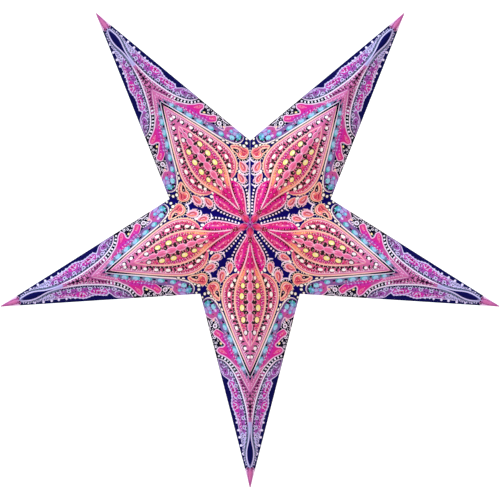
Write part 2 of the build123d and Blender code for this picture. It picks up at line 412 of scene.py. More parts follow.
def arcs():
    """The mauve middle strip with its dark dots, and the two beaded arcs beside it."""
    paint("night", [(150, 42), (153, 44), (161, 42)] + second_arc[:26] + first_arc[26::-1])
    paint("mauve", first_arc[24:] + [(198, -3), (250, -3)] + second_arc[:22:-1])
    patch("rose", [(192, 7), (199, 2.4), (208, -1), (224, -1), (215, 2.4), (205, 5.2), (197, 8)])
    middle = [((a[0] + b[0]) / 2, (a[1] + b[1]) / 2) for a, b in zip(first_arc, second_arc)]
    for number, (along, across, turn) in enumerate(places(middle[2:30], 4.1, 0.8)):
        oval("pearl", along, across, 2.3 - 0.4 * (number % 2), 2.7 + 0.5 * (number % 3), turn + 8, 8)
        if number % 3 == 0:
            oval("night", along, across - 0.3, 0.9, 0.9, turn, 6)
    beads("slate", beside(middle, 1.9)[2:28], 4.1, 1.2, 1.0, 2.8, 0, 6)
    stroke("cream", first_arc, 1.7)
    for number, (along, across, turn) in enumerate(places(beside(second_arc, -3.4)[26:52], 3.9, 0.6)):
        ink = "night" if number % 2 else "maroon"
        oval(ink, along, across, 3.0 - 0.6 * (number % 2), 2.2, turn + 35, 8)
    beads("maroon", beside(first_arc, 2.8)[28:44], 3.9, 2.6, 2.0, 2.2)
    curls("maroon", [(200, 5.0), (208, 3.2), (216, 1.9), (226, 0.8)], 3.4, 2.8, 0.6, 60)
    curls("cream", [(192, 8.4), (200, 5.8), (208, 4.2), (220, 2.4), (232, 1)], 4.4, 2.2, 2.4, 20)
    squiggles("blush", beside(second_arc, -1.6)[26:56], 3.9, 2.2, 2.2, 30)
    squiggles("night", beside(second_arc, -5.4)[24:44], 3.4, 2.2, 1.2, 80)
    for along in (203.5, 209.6, 215.6, 221.6, 228, 234.4):
        oval("night", along, 0, 4.0 - (along - 200) * 0.04, 3.0 - (along - 200) * 0.04, 0, 8)
        oval("blush", along + 3.1, 1.0, 1.2, 0.9, 0, 6)
    # the strip ends in a point, and a thin dark line runs on to the lens
    paint("night", [(236, -2), (236, 1.2), (243, 1.1), (256, 0.5), (256, -2)])
    paint("mauve", [(230, -2), (230, 1.6), (243.5, 0), (243.5, -2)])
    stroke("cream", second_arc, 1.5)


def notch_paisley():
    """The teal paisley at the notch and the long strip that it runs out into."""
    paint("rose", [(150, 22), (160, 12), (170, 8), (178, 2), (194, -2), (198, 0)] + first_arc[::-1][:24])
    curls("blush", [(170, 12.4), (178, 7.6), (186, 3.2), (191, 0.8)], 2.6, 2.2, 0.4, 30)
    curls("maroon", [(174, 8.2), (181, 4), (188, 0.6)], 2.6, 2.0, 1.4, 60)
    paint("night", [(176, -2), (181, -2), (181, 0), (172, 5.4), (168, 6.4)])
    paint("plum", strip_line + [(176, 6), (168, 13), (156, 20), (143, 25), (130, 31), (118, 38),
                                (112.5, 44), (110.8, 48.5), (104, 57), (92, 57)])
    patch("purple", [(100, 38), (106, 37), (110.5, 41), (112, 45), (109, 50), (103, 54), (99, 54),
                     (101, 46)])
    patch("mauve", [(104, 40), (108, 39.6), (111, 42), (111.4, 46), (108.5, 49.6), (105, 50.6), (106, 46)])
    patch("violet", [(98.6, 55), (101, 51.6), (105.6, 50.6), (104, 54), (101, 56)])
    patch("night", [(88.6, 49), (89.6, 45), (92.5, 43), (94.5, 46), (93, 50), (93.4, 54), (90.5, 54.4)])
    oval("azure", 94.2, 51, 7.6, 6.2, 20)
    oval("teal", 92.6, 52.2, 3.6, 2.6, 30, 8)
    oval("sky", 95.4, 50.2, 3.2, 2.2, 20, 8)
    oval("slate", 96.4, 53.4, 2.6, 1.4, 30, 8)
    oval("sky", 97.4, 43.6, 6.4, 5.4, -20)
    oval("teal", 96.2, 42.4, 2.2, 1.6, -20, 8)
    oval("teal", 91.6, 47.3, 3.2, 1.6, -50, 8)
    oval("sky", 90.8, 50.2, 2.6, 1.3, 5, 8)
    oval("lilac", 90.9, 45.2, 2.0, 1.2, -50, 8)
    oval("violet", 99.3, 49.2, 5.0, 4.2, 10)
    oval("azure", 104.2, 47.6, 5.2, 4.2, -15)
    oval("sky", 104.8, 47.8, 2.8, 2.2, -15, 8)
    oval("night", 101.6, 44.6, 1.8, 1.4, 20, 6)
    oval("night", 96.8, 47.4, 2.2, 1.3, 60, 6)
    oval("night", 107.0, 44.0, 1.8, 1.2, -40, 6)
    oval("lilac", 102, 41.2, 4.0, 2.8, -30, 8)
    curls("magenta", [(102, 38.6), (106, 40.6), (109, 44.6), (107.6, 49.6)], 3.4, 2.6, 0.8, 60)
    curls("night", [(91, 43.4), (94, 41.2), (98, 38.8), (103, 36.4), (108, 37.4)], 3.0, 2.2, 0.8, 60)
    curls("sky", [(93.4, 55), (98, 53), (101.4, 46.6), (100.4, 43.6)], 2.9, 1.9, 0.8, 60)
    stroke("slate", beside(strip_line, 3.1)[38:], 4.6)
    for along, across, length in [(109.5, 35.4, 7), (122.3, 29.4, 8.4), (136.4, 22.8, 8.6),
                                  (149.4, 17.3, 8.6), (161.5, 12.1, 8), (171, 7.4, 6)]:
        oval("azure", along - 1.2, across + 0.3, length, 5.2, -24)
        oval("teal", along - 2.6, across + 0.6, length * 0.5, 4.0, -24, 8)
        oval("sky", along, across + 0.6, length * 0.8, 4.0, -24)
        oval("violet", along + 1.0, across + 1.2, length * 0.4, 1.6, -24, 8)
        oval("night", along + 6.4, across - 3.6, 4.8, 2.0, -24, 8)
        oval("mauve", along + 7.0, across - 1.4, 3.2, 1.6, -50, 8)
    squiggles("lilac", beside(strip_line, 6.3)[42:66], 4.0, 2.4, 1.0, 40)
    draw("blush", [(102, 57), (107, 53.5), (111.4, 48.6), (112.6, 44.4), (110.6, 41), (114, 38.6),
                   (118, 36.8)], 1.5)
    stroke("cream", strip_line, 1.7)


def flames():
    """The magenta flames beside the strip, and the white curls on black along the outline."""
    paint("night", [(108, 56), (113, 46), (118, 38), (128, 33), (145, 27), (156, 30), (154, 36), (152, 43),
                    (130, 50)])
    ring("pearl", "night", 120.6, 41.6, 6.2, 10)
    oval("blush", 120.6, 41.4, 1.6, 1.2, 0, 6)
    for along, across, size in [(115.2, 45.8, 3.4), (127.6, 44.6, 3.0), (134.8, 42.4, 3.4),
                                (141.2, 40.2, 3.0), (145.8, 40.4, 3.2), (151.6, 38.4, 2.6)]:
        ring("pearl", "night", along, across, size)
    draw("pearl", [(113.2, 50.2), (116.4, 48.8), (120, 47.6), (123.6, 48), (126, 46.6)], 1.1)
    for along, across, turn in [(118.2, 45.8, 60), (121.4, 46, 90), (124.4, 44.6, 120), (117.4, 39.6, -40)]:
        oval("pearl", along, across, 2.0, 0.9, turn, 6)
    beads("pearl", curve([(114.6, 40.6), (118, 37.4), (122.6, 36.8), (125, 39)]), 2.8, 1.8, 1.2, 0.4, 0, 6)
    curls("pearl", [(127, 47), (133, 45.2), (140, 43), (147, 41.6), (152, 40.6)], 2.9, 2.0, 0.8, 50)
    curls("lilac", [(129, 44.2), (133, 40.4), (137, 38.4)], 3.0, 1.8, 0.6)
    oval("peach", 113.6, 43.2, 3.4, 2.6, 0, 8)
    oval("cream", 116.2, 41.2, 2.4, 1.6, 40, 8)
    flame = loop([(124.8, 40.5), (126.4, 35.4), (130, 31), (137, 27), (145, 22.4), (155, 18.6), (165, 14.6),
                  (171, 10.6), (167.4, 17.4), (161.6, 23), (157, 30), (154.4, 36), (150.4, 39.4),
                  (146.6, 37), (145.8, 32.4), (143, 30), (139.6, 33.4), (135, 37.6), (130.6, 43.6)])
    paint("fuchsia", flame)
    patch("magenta", [(127.6, 36.4), (134, 30.6), (143, 26), (153, 22), (163, 17.6), (159, 22.6), (150, 27),
                      (143.6, 29), (137.6, 32.4), (130.6, 38)])
    patch("pink", [(127, 40.6), (128.4, 37), (131.6, 34.6), (132.6, 36.6), (130.4, 40.8)])
    patch("scarlet", [(128.6, 40.6), (130, 38), (132.6, 36), (131.6, 39.4)])
    patch("pink", [(148.6, 36.6), (149, 32.4), (151.4, 29.6), (153.6, 30), (152.6, 34), (150.4, 37.4)])
    patch("scarlet", [(150, 35.6), (150.6, 32.4), (152.4, 30.6), (152.6, 33), (151.4, 35.6)])
    patch("purple", [(130, 31.6), (136, 27.8), (144, 24), (149, 22.6), (147, 25.4), (140, 28.4),
                     (134, 31.4)])
    patch("mauve", [(158, 20.4), (164, 17), (168, 13.8), (165.6, 18), (160.6, 22.4)])
    stroke("blush", flame[26:] + flame[:9], 1.5)
    curls("lilac", [(132, 31.4), (140, 27), (147, 24.4), (154, 20.8), (162, 16.4)], 4.4, 2.2, 1.0, 60)
    curls("maroon", [(134, 32.6), (141, 29), (149, 26), (158, 20.6)], 4.4, 2.0, 2.0, 60)
    curls("blush", [(129.6, 39), (133, 35), (137, 32.6)], 3.4, 1.5, 0.6, 60)
    curls("blush", [(151, 35.6), (152.6, 30), (155, 26)], 3.4, 1.5, 0.6, 60)
    oval("yellow", 141.6, 34.6, 3.2, 2.4, -40, 8)
    oval("cream", 138.6, 38.2, 2.2, 1.7, -40, 8)
    oval("teal", 144.4, 33.4, 1.8, 1.4, 0, 6)


def outer_leaf():
    """The large leaf's border: its peach line, white beads and dark scallops."""
    paint("night", to_ridge([(x + 1.2, y + 1.5) for x, y in outer_line[40:]]))
    paint("rose", to_ridge(outer_line))
    patch("crimson", [(60.5, 19), (64, 24.4), (70, 28.4), (78, 30.4), (88, 30.8), (98, 28.6), (96, 26.6),
                      (86, 27.6), (76, 26.4), (68, 22.6)])
    patch("scarlet", [(61.6, 21), (65, 25.6), (71, 28.6), (78, 29.4), (76, 27.4), (69, 24.6)])
    stroke("blush", beside(outer_line, -2.4)[6:], 0.9)
    squiggles("cream", beside(outer_line, -3.6)[6:80], 2.9, 2.2, 1.0, 50)
    squiggles("maroon", beside(outer_line, -4.4)[8:80], 2.9, 2.2, 2.4, 60)
    squiggles("night", beside(outer_line, -6.4)[12:70], 4.4, 1.8, 2.0, 20)
    squiggles("pearl", beside(outer_line, -7.4)[12:70], 4.4, 1.6, 0.6, 80)
    # dark scallops and pale squiggles between its beads and the inner leaf
    band = beside(inner_line, 2.2)[38:82]
    for number, (along, across, turn) in enumerate(places(band, 3.3, 0.8)):
        oval("olive", along, across, 3.6, 2.2 + 1.1 * (number % 2), turn + 8, 8)
    squiggles("cream", beside(inner_line, 2.2)[40:80], 4.9, 2.0, 2.0, 80)
    for along, across, turn, length in [(65.6, 17.8, 32, 4.4), (71.4, 21.2, 22, 6.0), (82.2, 24.6, 8, 7.0),
                                        (95.6, 24.2, -8, 7.0), (109.2, 20.7, -18, 6.6),
                                        (122.3, 15.8, -22, 5.8), (134.6, 10.8, -24, 5.2),
                                        (146.2, 5.6, -25, 4.6), (156.4, 1.4, -25, 4.0)]:
        lean = math.radians(turn)
        for ahead in (-0.62, 0.78):
            oval("olive", along + ahead * length * math.cos(lean),
                 across + ahead * length * math.sin(lean) - 0.8, 2.4, 5.0, turn + 12, 8)
        oval("maroon", along + 0.4, across + 2.2, length * 0.8, 1.7, turn, 8)
        oval("white", along, across, length * 0.9, 3.7, turn)
        for ahead in (-0.72, 0.72):
            oval("blush", along + ahead * length * math.cos(lean),
                 across + ahead * length * math.sin(lean) + 1.4, 1.5, 1.2, turn, 6)
    stroke("peach", outer_line, 1.8)


def inner_leaf():
    """The leaf's red middle, its yellow beads and the chain of ovals down the ridge."""
    paint("pink", to_ridge(inner_line))
    patch("crimson", [(66, 11.6), (74, 13.6), (84, 16), (96, 15.8), (108, 13), (118, 10.4), (128, 6.6),
                      (120, 7.4), (108, 11), (96, 12.2), (82, 11.6), (74, 10.4)])
    patch("orange", [(50, 5.6), (56, 8.4), (62, 11.2), (70, 13.8), (76, 14.6), (72, 12.4), (65, 9.4),
                     (57, 6)])
    patch("crimson", [(72, 11.4), (78, 13.6), (88, 15), (98, 14.6), (108, 12), (116, 9.4), (112, 9),
                      (100, 10.4), (88, 11.6), (78, 10.6)])
    patch("magenta", [(84, 12.6), (92, 13), (100, 12), (106, 10.6), (104, 13), (94, 15.2), (86, 15)])
    squiggles("peach", beside(inner_line, -2.4)[36:80], 3.4, 2.8, 1.0, 75)
    squiggles("maroon", beside(inner_line, -3.2)[40:78], 3.4, 2.6, 2.7, 75)
    squiggles("cream", beside(inner_line, -4.2)[44:78], 3.4, 1.6, 1.0, 30)
    squiggles("night", beside(inner_line, -4.8)[46:76], 6.8, 1.6, 3.2, 30)
    # dark scallops between the yellow beads and the ridge
    mound("rose", [(48, 0.8), (56, 3.6), (64, 6), (80, 7.4), (96, 7.2), (110, 6), (124, 4), (136, 0)])
    for along, size in [(58, 3.6), (66.8, 5.0), (78.7, 6.2), (91, 6.6), (103.3, 6.4), (115.2, 5.6),
                        (126, 4.0), (135, 2.4)]:
        oval("olive", along, size * 0.7, size * 0.78, size * 0.96, 0, 10)
        oval("olive", along - size * 0.78, size * 0.78, size * 0.34, size * 0.5, 20, 8)
        oval("olive", along + size * 0.78, size * 0.78, size * 0.34, size * 0.5, -20, 8)
    dip = curve([(54, 3), (64, 5.2), (74, 6.0), (86, 6.3), (98, 6.1), (110, 5.3), (122, 3.6), (132, 1.4)])
    squiggles("olive", dip, 2.4, 2.6, 0.6, 35)
    squiggles("peach", beside(dip, -1.2), 4.8, 1.8, 1.8, 60)
    yellow_beads = [(54.6, 2.8, 3.4), (62.4, 5.4, 5.2), (71.6, 8.2, 7.2), (84.2, 9.5, 8.4), (98, 9.2, 8.6),
                    (112.2, 7.8, 8.0), (127.4, 4.9, 6.0)]
    for number, (along, across, length) in enumerate(yellow_beads):
        oval("olive", along + 0.4, across - 0.4, length + 1.3, length * 0.66)
        oval("maroon", along + 0.2, across + 0.9, length, length * 0.62)
        oval("yellow" if 1 < number < 6 else "cream", along, across, length * 0.9, length * 0.64)
        oval("cream", along + length * 0.1, across - length * 0.1, length * 0.36, length * 0.22, 20, 8)
    for along, across in [(78, 9.8), (91.2, 10.6), (105.2, 9.6), (120, 7)]:
        oval("scarlet", along, across, 3.8, 3.2, 0, 8)
    for along, length, width in [(52.5, 7, 2.6), (61, 9, 4.4), (72.6, 10.4, 5.6), (84.8, 11.2, 6.4),
                                 (97.2, 11.2, 6.4), (109.4, 10.8, 6.0), (121, 9.4, 4.8), (131, 8.4, 3.4),
                                 (139, 6, 2.2)]:
        oval("blush", along, 0, length + 1.4, width + 0.8)
        oval("pink", along, 0, length + 0.2, width - 0.8)
        oval("rose", along + 0.3, 0, length * 0.5, width * 0.4, 0, 8)
    stroke("peach", inner_line[8:], 1.7)


def neck_and_petal():
    """The neck of the leaf, the teardrop petal beside it and the pearls along the valley."""
    patch("night", [(9, 4.4), (13, 7.8), (21, 13.2), (30, 18.4), (38, 22), (43.6, 23), (46, 20.6), (38, 19),
                    (28, 14)])
    petal = loop([(11.4, 2.6), (16, 5.4), (21.6, 8.9), (28, 12.5), (34.6, 15.8), (41, 17.6), (47, 17.4),
                  (52, 15.4), (56, 12), (50, 9), (43, 6.2), (35, 3.6), (27, 1.6), (18, 0.8)])
    paint("fuchsia", petal)
    patch("crimson", [(14, 2.6), (18, 5), (24, 8.4), (31, 12.2), (38, 15), (44, 15.6), (38, 12.6), (30, 9),
                      (22, 5)])
    patch("magenta", [(28, 7.6), (34, 10.4), (41, 13.8), (48, 14.6), (52, 13), (47, 11), (39, 8.8),
                      (33, 7)])
    patch("pink", [(30, 8.6), (35, 10.4), (41, 12.6), (46, 13), (41, 10.8), (35, 8.6)])
    for along, across, length, turn in [(26, 8.2, 5.0, 34), (33.4, 11.4, 5.6, 28), (45.4, 15.2, 4.4, -4),
                                        (19.4, 4.6, 4.4, 34)]:
        oval("pink", along, across, length, 1.5, turn, 8)
    for along, across, turn in [(36.4, 10.6, 30), (42, 12.4, 10), (29.6, 9.4, 60), (47.6, 13.4, -20)]:
        oval("blush", along, across, 2.4, 1.3, turn, 6)
    curls("maroon", [(22, 6.2), (29, 9.8), (37, 13.6), (44, 14.4)], 4.6, 2.0, 1.6, 60)
    curls("lilac", [(30, 12.8), (37, 15.4), (43, 16), (49, 14.4)], 5.4, 1.7, 1.2, 60)
    # the dark gap between the petal and the leaf, with its dashes
    gap = curve([(24, 1.3), (32, 3.7), (40, 6.4), (49, 10.4), (53, 12.2)])
    paint("maroon", gap + [(50, 8.4), (40, 4.4), (26, 0.8)])
    curls("night", [(22, 2.0), (30, 3.7), (38, 6.2), (46, 9.4), (52, 12)], 3.6, 3.2, 1.4, 70)
    curls("pink", [(24, 2.4), (32, 4.5), (40, 7.1), (48, 10.4)], 3.6, 2.0, 0.2, 70)
    stroke("blush", petal[52:] + petal[:30], 1.5)
    # the neck of the leaf along the ridge
    mound("maroon", [(13, 2.2), (17, 2.4), (21, 1.6), (24.4, 0.4)])
    curls("blush", [(14, 2.8), (17.6, 2.2), (21, 1.0)], 2.4, 1.5, 0.6, 50)
    oval("blush", 17.6, 0, 1.6, 1.0, 0, 6)
    mound("crimson", [(22.6, 0.2), (28, 1.4), (34, 2.8), (41, 4.4), (46, 5.4), (50, 4), (54, 0)])
    for along, length, width in [(28, 5, 1.6), (34.4, 6, 2.8), (41.6, 7, 3.8), (48.6, 6.0, 3.4)]:
        oval("maroon", along, 0, length + 1, width + 1.4, 0, 10)
        oval("fuchsia", along, 0, length, width, 0, 10)
        oval("blush", along + 3.4, width * 0.5, 1.4, 1.1, 0, 6)
    curls("pink", [(28, 0.9), (35, 2.3), (42, 3.9), (48, 5)], 3.2, 2.0, 1.2, 60)
    squiggles("maroon", beside(inner_line, -1.7)[18:34], 3.2, 1.8, 1.2, 70)
    stroke("blush", inner_line[:36], 1.5)
    stroke("peach", inner_line[24:56], 1.5)
    oval("white", 53.4, 16.8, 4.6, 3.4, 25, 10)
    oval("cream", 56, 13.6, 3.6, 2.4, 10, 8)
    # the row of pearls between the petal and the valley
    pearls = curve([(11.6, 5.2), (17, 9.2), (24, 13.9), (31, 17.9), (37.4, 20.8), (43.4, 21.6)])
    beads("pearl", pearls, 4.0, 2.6, 2.2, 0.4, 45)
    # the small red buds round the middle of the star
    patch("mauve", [(0, -1), (4, 2.2), (9, 3.9), (13.4, 2.6), (15, 0), (13, -2.4), (4, -2)])
    patch("crimson", [(1.5, -0.6), (5, 1.5), (9, 2.7), (12.4, 1.6), (13.6, 0), (12, -1.8), (4, -1.6)])
    patch("scarlet", [(6, -0.8), (8.4, 1.4), (11, 1.0), (12.4, 0), (10, -1.2)])
    draw("maroon", [(2, 0.4), (5, 1.9), (8, 2.2)], 0.9)
    draw("pink", [(8, 2.4), (10.6, 2.2), (12.8, 0.6)], 1.1)
    patch("purple", [(0.6, -0.4), (2.4, 0.7), (4, 0.8), (3, -0.4)])
    paint("lilac", [(0, 0), (6, 3.8), (7, 5.1), (4.2, 3.5)])


def bud(along, across, size, turn):
    """A drop-shaped bud: a dark rim, a frill of pale dashes and a streaked coral middle."""
    lean = math.radians(turn)

    def at(ahead, aside):
        return (along + size * (ahead * math.cos(lean) - aside * math.sin(lean)),
                across + size * (ahead * math.sin(lean) + aside * math.cos(lean)))

    patch("night", [at(0.78, 0), at(0.4, 0.38), at(-0.2, 0.5), at(-0.68, 0.3), at(-0.74, -0.1),
                    at(-0.4, -0.44), at(0.2, -0.4)])
    patch("blush", [at(0.68, 0.02), at(0.36, 0.3), at(-0.14, 0.4), at(-0.56, 0.24), at(-0.6, -0.1),
                    at(-0.3, -0.34), at(0.2, -0.3)])
    patch("coral", [at(0.6, 0.02), at(0.3, 0.2), at(-0.1, 0.28), at(-0.42, 0.14), at(-0.42, -0.1),
                    at(-0.2, -0.22), at(0.2, -0.2)])
    for ahead, aside, way in [(0.5, 0.3, 30), (0.22, 0.42, 60), (-0.08, 0.48, 90), (-0.38, 0.44, 120),
                              (-0.62, 0.28, 150), (-0.72, 0.04, 180), (-0.64, -0.22, 210),
                              (-0.42, -0.4, 240), (-0.14, -0.44, 270)]:
        oval("cream", *at(ahead, aside), size * 0.17, size * 0.1, turn + way, 6)
    patch("crimson", [at(0.42, 0.04), at(0.1, 0.14), at(-0.28, 0.08), at(-0.28, -0.04), at(0.1, -0.04)])
    stroke("orange", curve([at(0.5, -0.04), at(0.1, -0.16), at(-0.3, -0.14)], 4), size * 0.09)
    stroke("maroon", curve([at(0.4, 0.16), at(0.06, 0.22), at(-0.26, 0.18)], 4), size * 0.07)
    stroke("cream", curve([at(0.3, 0.02), at(0, 0.04), at(-0.22, 0)], 4), size * 0.06)


def buds():
    """The buds and the paisley curl between the leaf and the valley, with navy showing between."""
    bud(50.4, 23.2, 11.0, 6)
    draw("pearl", [(40.2, 27), (40, 23.6), (41.6, 20.8), (45, 18.8)], 1.6)
    draw("blush", [(43, 26.8), (47, 27.6), (53, 26.8), (57.4, 24.8)], 1.2)
    bud(60.8, 32.8, 12.0, 10)
    draw("pearl", [(50.6, 34.8), (50.6, 31), (53, 28.4), (57.4, 27)], 1.6)
    draw("blush", [(53.4, 36.8), (58.5, 38), (64.4, 37), (68.4, 34.4)], 1.3)
    oval("white", 58.4, 26.4, 4.6, 3.0, 25, 10)
    oval("blush", 62.6, 26.8, 3.0, 1.8, 40, 8)
    curls("peach", [(58.6, 20.4), (60.4, 24), (64, 28), (68.6, 32)], 3.4, 2.4, 0.6)
    # the curl
    draw("pearl", [(66.4, 49), (63.8, 44.8), (63.6, 40.4), (66, 36.4)], 1.7)
    patch("night", [(67, 47), (65.4, 41), (67.6, 36.4), (72, 34.6), (80, 34.4), (88, 34.4), (91, 37),
                    (88.4, 43), (80, 47.6), (75, 51.4), (70, 50)])
    patch("peach", [(68.2, 45.6), (67.2, 41.2), (69.2, 37.6), (73.4, 35.8), (78, 36), (84, 34.9),
                    (89.4, 35.4), (90.4, 38), (87.4, 43), (81.6, 47.2), (77, 50.8), (71.6, 50.2)])
    patch("coral", [(69.2, 45), (68.6, 41.4), (70.4, 38.4), (74, 37), (77.6, 37.6), (78, 41.2), (81, 42.8),
                    (85, 40.8), (87, 37.2), (89.2, 37.2), (86.2, 42.4), (80.4, 46.2), (75.8, 49.8),
                    (71.8, 49)])
    patch("scarlet", [(70.4, 44.6), (71, 41.4), (73.4, 39.6), (75.6, 42), (78, 44.6), (75.4, 47.6),
                      (72.4, 47.4)])
    patch("orange", [(73, 39), (75.6, 38.6), (76.6, 41), (74.6, 42)])
    patch("night", [(78.6, 40.6), (77.9, 38.6), (79.6, 37.2), (82.2, 36.6), (85.4, 36.2), (85.6, 37.6),
                    (83.4, 39.4), (81, 41.2)])
    oval("blush", 80.4, 39.2, 1.8, 1.5, 0, 8)
    draw("cream", [(71.2, 46.6), (70, 43), (71.4, 40), (74.4, 38.6), (76.8, 39.8)], 0.9)
    draw("maroon", [(73.6, 47.6), (76.6, 45), (80.6, 44.2), (84.6, 42.2), (87.4, 38.8)], 0.9)
    curls("cream", [(70, 50.8), (75, 52), (80, 49), (86, 45.4), (90.4, 40)], 2.9, 2.2, 0.4, 70)
    curls("cream", [(66.6, 46), (65.8, 41.6), (67.8, 37), (72.4, 34.6), (79, 34.4), (86, 33.8)],
          2.9, 2.2, 0.4, 70)
    curls("blush", [(70.2, 43.6), (72, 40.6), (76.6, 40), (78.4, 43.4), (84, 42.6), (87.6, 39)],
          2.9, 1.5, 0.8, 30)
    curls("peach", [(73, 46), (77, 43.4), (81.4, 43.6)], 2.6, 1.6, 0.4, 30)
    for along, across in [(95.2, 35.6), (100.6, 33.2)]:
        oval("night", along, across, 6.0, 3.8, -28)
        oval("cream", along, across, 4.0, 2.4, -28, 10)
    for along, across, size in [(80.8, 49.4, 4.2), (84.6, 46.4, 2.8), (82.2, 54, 3.6), (86.4, 57.0, 2.8)]:
        oval("olive", along, across, size + 1.6, size + 1.2, 0, 10)
        oval("white", along, across, size, size * 0.85, 0, 10)


def tip():
    """The navy lens near the tip, its pale edge and the pink tip."""
    patch("slate", [(238, 1.6), (246, 3.6), (254, 4.2), (262, 5.8), (270, 7), (278, 6.8), (286, 5),
                    (291, 1), (280, 1), (256, 0.6)])
    lens_edge = curve([(235, 1.9), (244, 1.1), (252, 1.0), (259, 1.8), (266, 3.2), (273, 4.2), (280, 3.8),
                       (287, 2.2), (292, 0.4)])
    paint("violet", to_ridge(lens_edge))
    mound("navy", [(247, 0), (255, 0.4), (262, 1.6), (268, 2.8), (274, 3.2), (281, 2.5), (290, 0)])
    stroke("lilac", lens_edge, 1.3)
    curls("night", [(250, 3.6), (256, 3.6), (263, 4.6), (270, 6), (278, 5.8), (286, 4.2)],
          2.5, 2.4, 0.8, 70)
    curls("lilac", [(248, 5.4), (256, 5.4), (264, 6.6), (272, 7.2), (282, 5.6)], 2.8, 2.8, 0.8, 20)
    curls("lilac", [(250, 10.4), (260, 9.2), (270, 8.2), (280, 6.4), (288, 4)], 2.9, 2.4, 0.6, 60)
    curls("night", [(252, 9.8), (262, 8.4), (272, 7.2), (282, 5.4)], 2.9, 2.0, 1.8, 50)
    paint("mauve", [(290.6, -4), (290.6, 3.2), (294, 6.6), (318, 6), (318, -4)])
    paint("blush", [(290.6, 3.2), (294, 6.6), (318, 6), (318, 0), (300, 2.8)])
    for along, across in [(291, 1.2), (292.6, 3.4), (290.2, 5.2)]:
        oval("night", along, across, 2.2, 1.7, 40, 8)
    patch("rose", [(294, 0.4), (297, 2.0), (301, 1.8), (306, 0), (300, -2), (295, -1.6)])
    curls("maroon", [(293, 2.2), (298, 2.4), (303, 1.4)], 2.6, 1.6, 0.6, 40)


def seam_margin():
    """The pale edge on the left of the front seam, where the print is cut a little off its line."""
    motifs.clear()
    stroke("violet", [(24 + 3 * n, 17.0 + 2.18 * n) for n in range(17)], 2.4)
    stroke("cream", [(12 + 2 * n, 7.3 + 1.45 * n) for n in range(13)], 3.4)
    squiggles("slate", [(13, 7.6), (34, 22.8)], 3.6, 1.8, 0.6, 70)
    stroke("lilac", [(20 + 3 * n, 13.4 + 2.18 * n) for n in range(18)], 1.4)
    return list(motifs)


def whole_print():
    """All the shapes of the print, the lowest first."""
    motifs.clear()
    paint("navy", [(-5, -5), (320, -5), (320, 70), (-5, 70)])
    side_strip()
    arcs()
    notch_paisley()
    flames()
    outer_leaf()
    inner_leaf()
    neck_and_petal()
    buds()
    tip()
    return list(motifs)


# Materials
def shader_inputs(material):
    """The sockets of a material's own shader."""
    return material.node_tree.nodes["Principled BSDF"].inputs


def new_material(name, roughness, specular=0.3, metallic=0.0):
    """A material with its gloss set."""
    material = bpy.data.materials.new(name)
    material.use_nodes = True
    settings = shader_inputs(material)
    settings["Roughness"].default_value = roughness
    settings["Specular IOR Level"].default_value = specular
    settings["Metallic"].default_value = metallic
    return material


def add_node(owner, kind, **settings):
    """A new node of a material or the world, with its sockets and settings filled in."""
    node = owner.node_tree.nodes.new(kind)
    for name, value in settings.items():
        if name in node.inputs:
            node.inputs[name].default_value = value
        else:
            setattr(node, name, value)
    return node


def link(owner, source, target):
    """Joins one node's output to another's input."""
    owner.node_tree.links.new(source, target)


def calculate(owner, operation, first, second, **settings):
    """The result of a sum on two values, each a number or a node's output."""
    node = add_node(owner, "ShaderNodeMath", operation=operation, **settings)
    for socket, value in zip(node.inputs, (first, second)):
        if isinstance(value, bpy.types.NodeSocket):
            link(owner, value, socket)
        else:
            socket.default_value = value
    return node.outputs[0]


def stretched(owner, value, low, high, start, end):
    """A value that runs from low to high while the one it follows runs from start to end."""
    bounds = {"From Min": start, "From Max": end, "To Min": low, "To Max": high}
    node = add_node(owner, "ShaderNodeMapRange", **bounds)
    link(owner, value, node.inputs["Value"])
    return node.outputs["Result"]


# Most of the noise lies between these two values
NOISE_LOW, NOISE_HIGH = 0.3, 0.7


def grain(material, scale):
    """Noise that stays with the piece."""
    place = add_node(material, "ShaderNodeTexCoord")
    noise = add_node(material, "ShaderNodeTexNoise", Scale=scale, Detail=3.0)
    link(material, place.outputs["Object"], noise.inputs["Vector"])
    return noise.outputs["Fac"]


def spread(material, noise, low, high):
    """Noise stretched until most of it lies between two numbers."""
    return stretched(material, noise, low, high, NOISE_LOW, NOISE_HIGH)


def raise_grain(material, noise, height, strength):
    """Raises the surface a little where the noise is high."""
    bump = add_node(material, "ShaderNodeBump", Strength=strength, Distance=height)
    link(material, noise, bump.inputs["Height"])
    link(material, bump.outputs["Normal"], shader_inputs(material)["Normal"])


def printed_card_material():
    """Matt inks on card, a little uneven, over the card's fine fibres."""
    material = new_material("paisley_inks", roughness=0.7, specular=0.04)
    fibres = grain(material, scale=900)
    ink = add_node(material, "ShaderNodeAttribute", attribute_name="print")
    mix = add_node(material, "ShaderNodeMix", data_type="RGBA", blend_type="MULTIPLY")
    mix.inputs["Factor"].default_value = 1.0
    link(material, ink.outputs["Color"], mix.inputs["A"])
    link(material, spread(material, fibres, 0.9, 1.06), mix.inputs["B"])
    link(material, mix.outputs["Result"], shader_inputs(material)["Base Color"])
    raise_grain(material, fibres, height=0.06 * MM, strength=0.25)
    return material


def plain_material(name, pale, dark, scale, height, roughness, **settings):
    """One colour, between a pale and a dark tone, over a raised grain."""
    material = new_material(name, roughness, **settings)
    fibres = grain(material, scale)
    mix = add_node(material, "ShaderNodeMix", data_type="RGBA")
    mix.inputs["A"].default_value = (*dark, 1)
    mix.inputs["B"].default_value = (*pale, 1)
    link(material, spread(material, fibres, 0.0, 1.0), mix.inputs["Factor"])
    link(material, mix.outputs["Result"], shader_inputs(material)["Base Color"])
    raise_grain(material, fibres, height, strength=0.3)
    return material


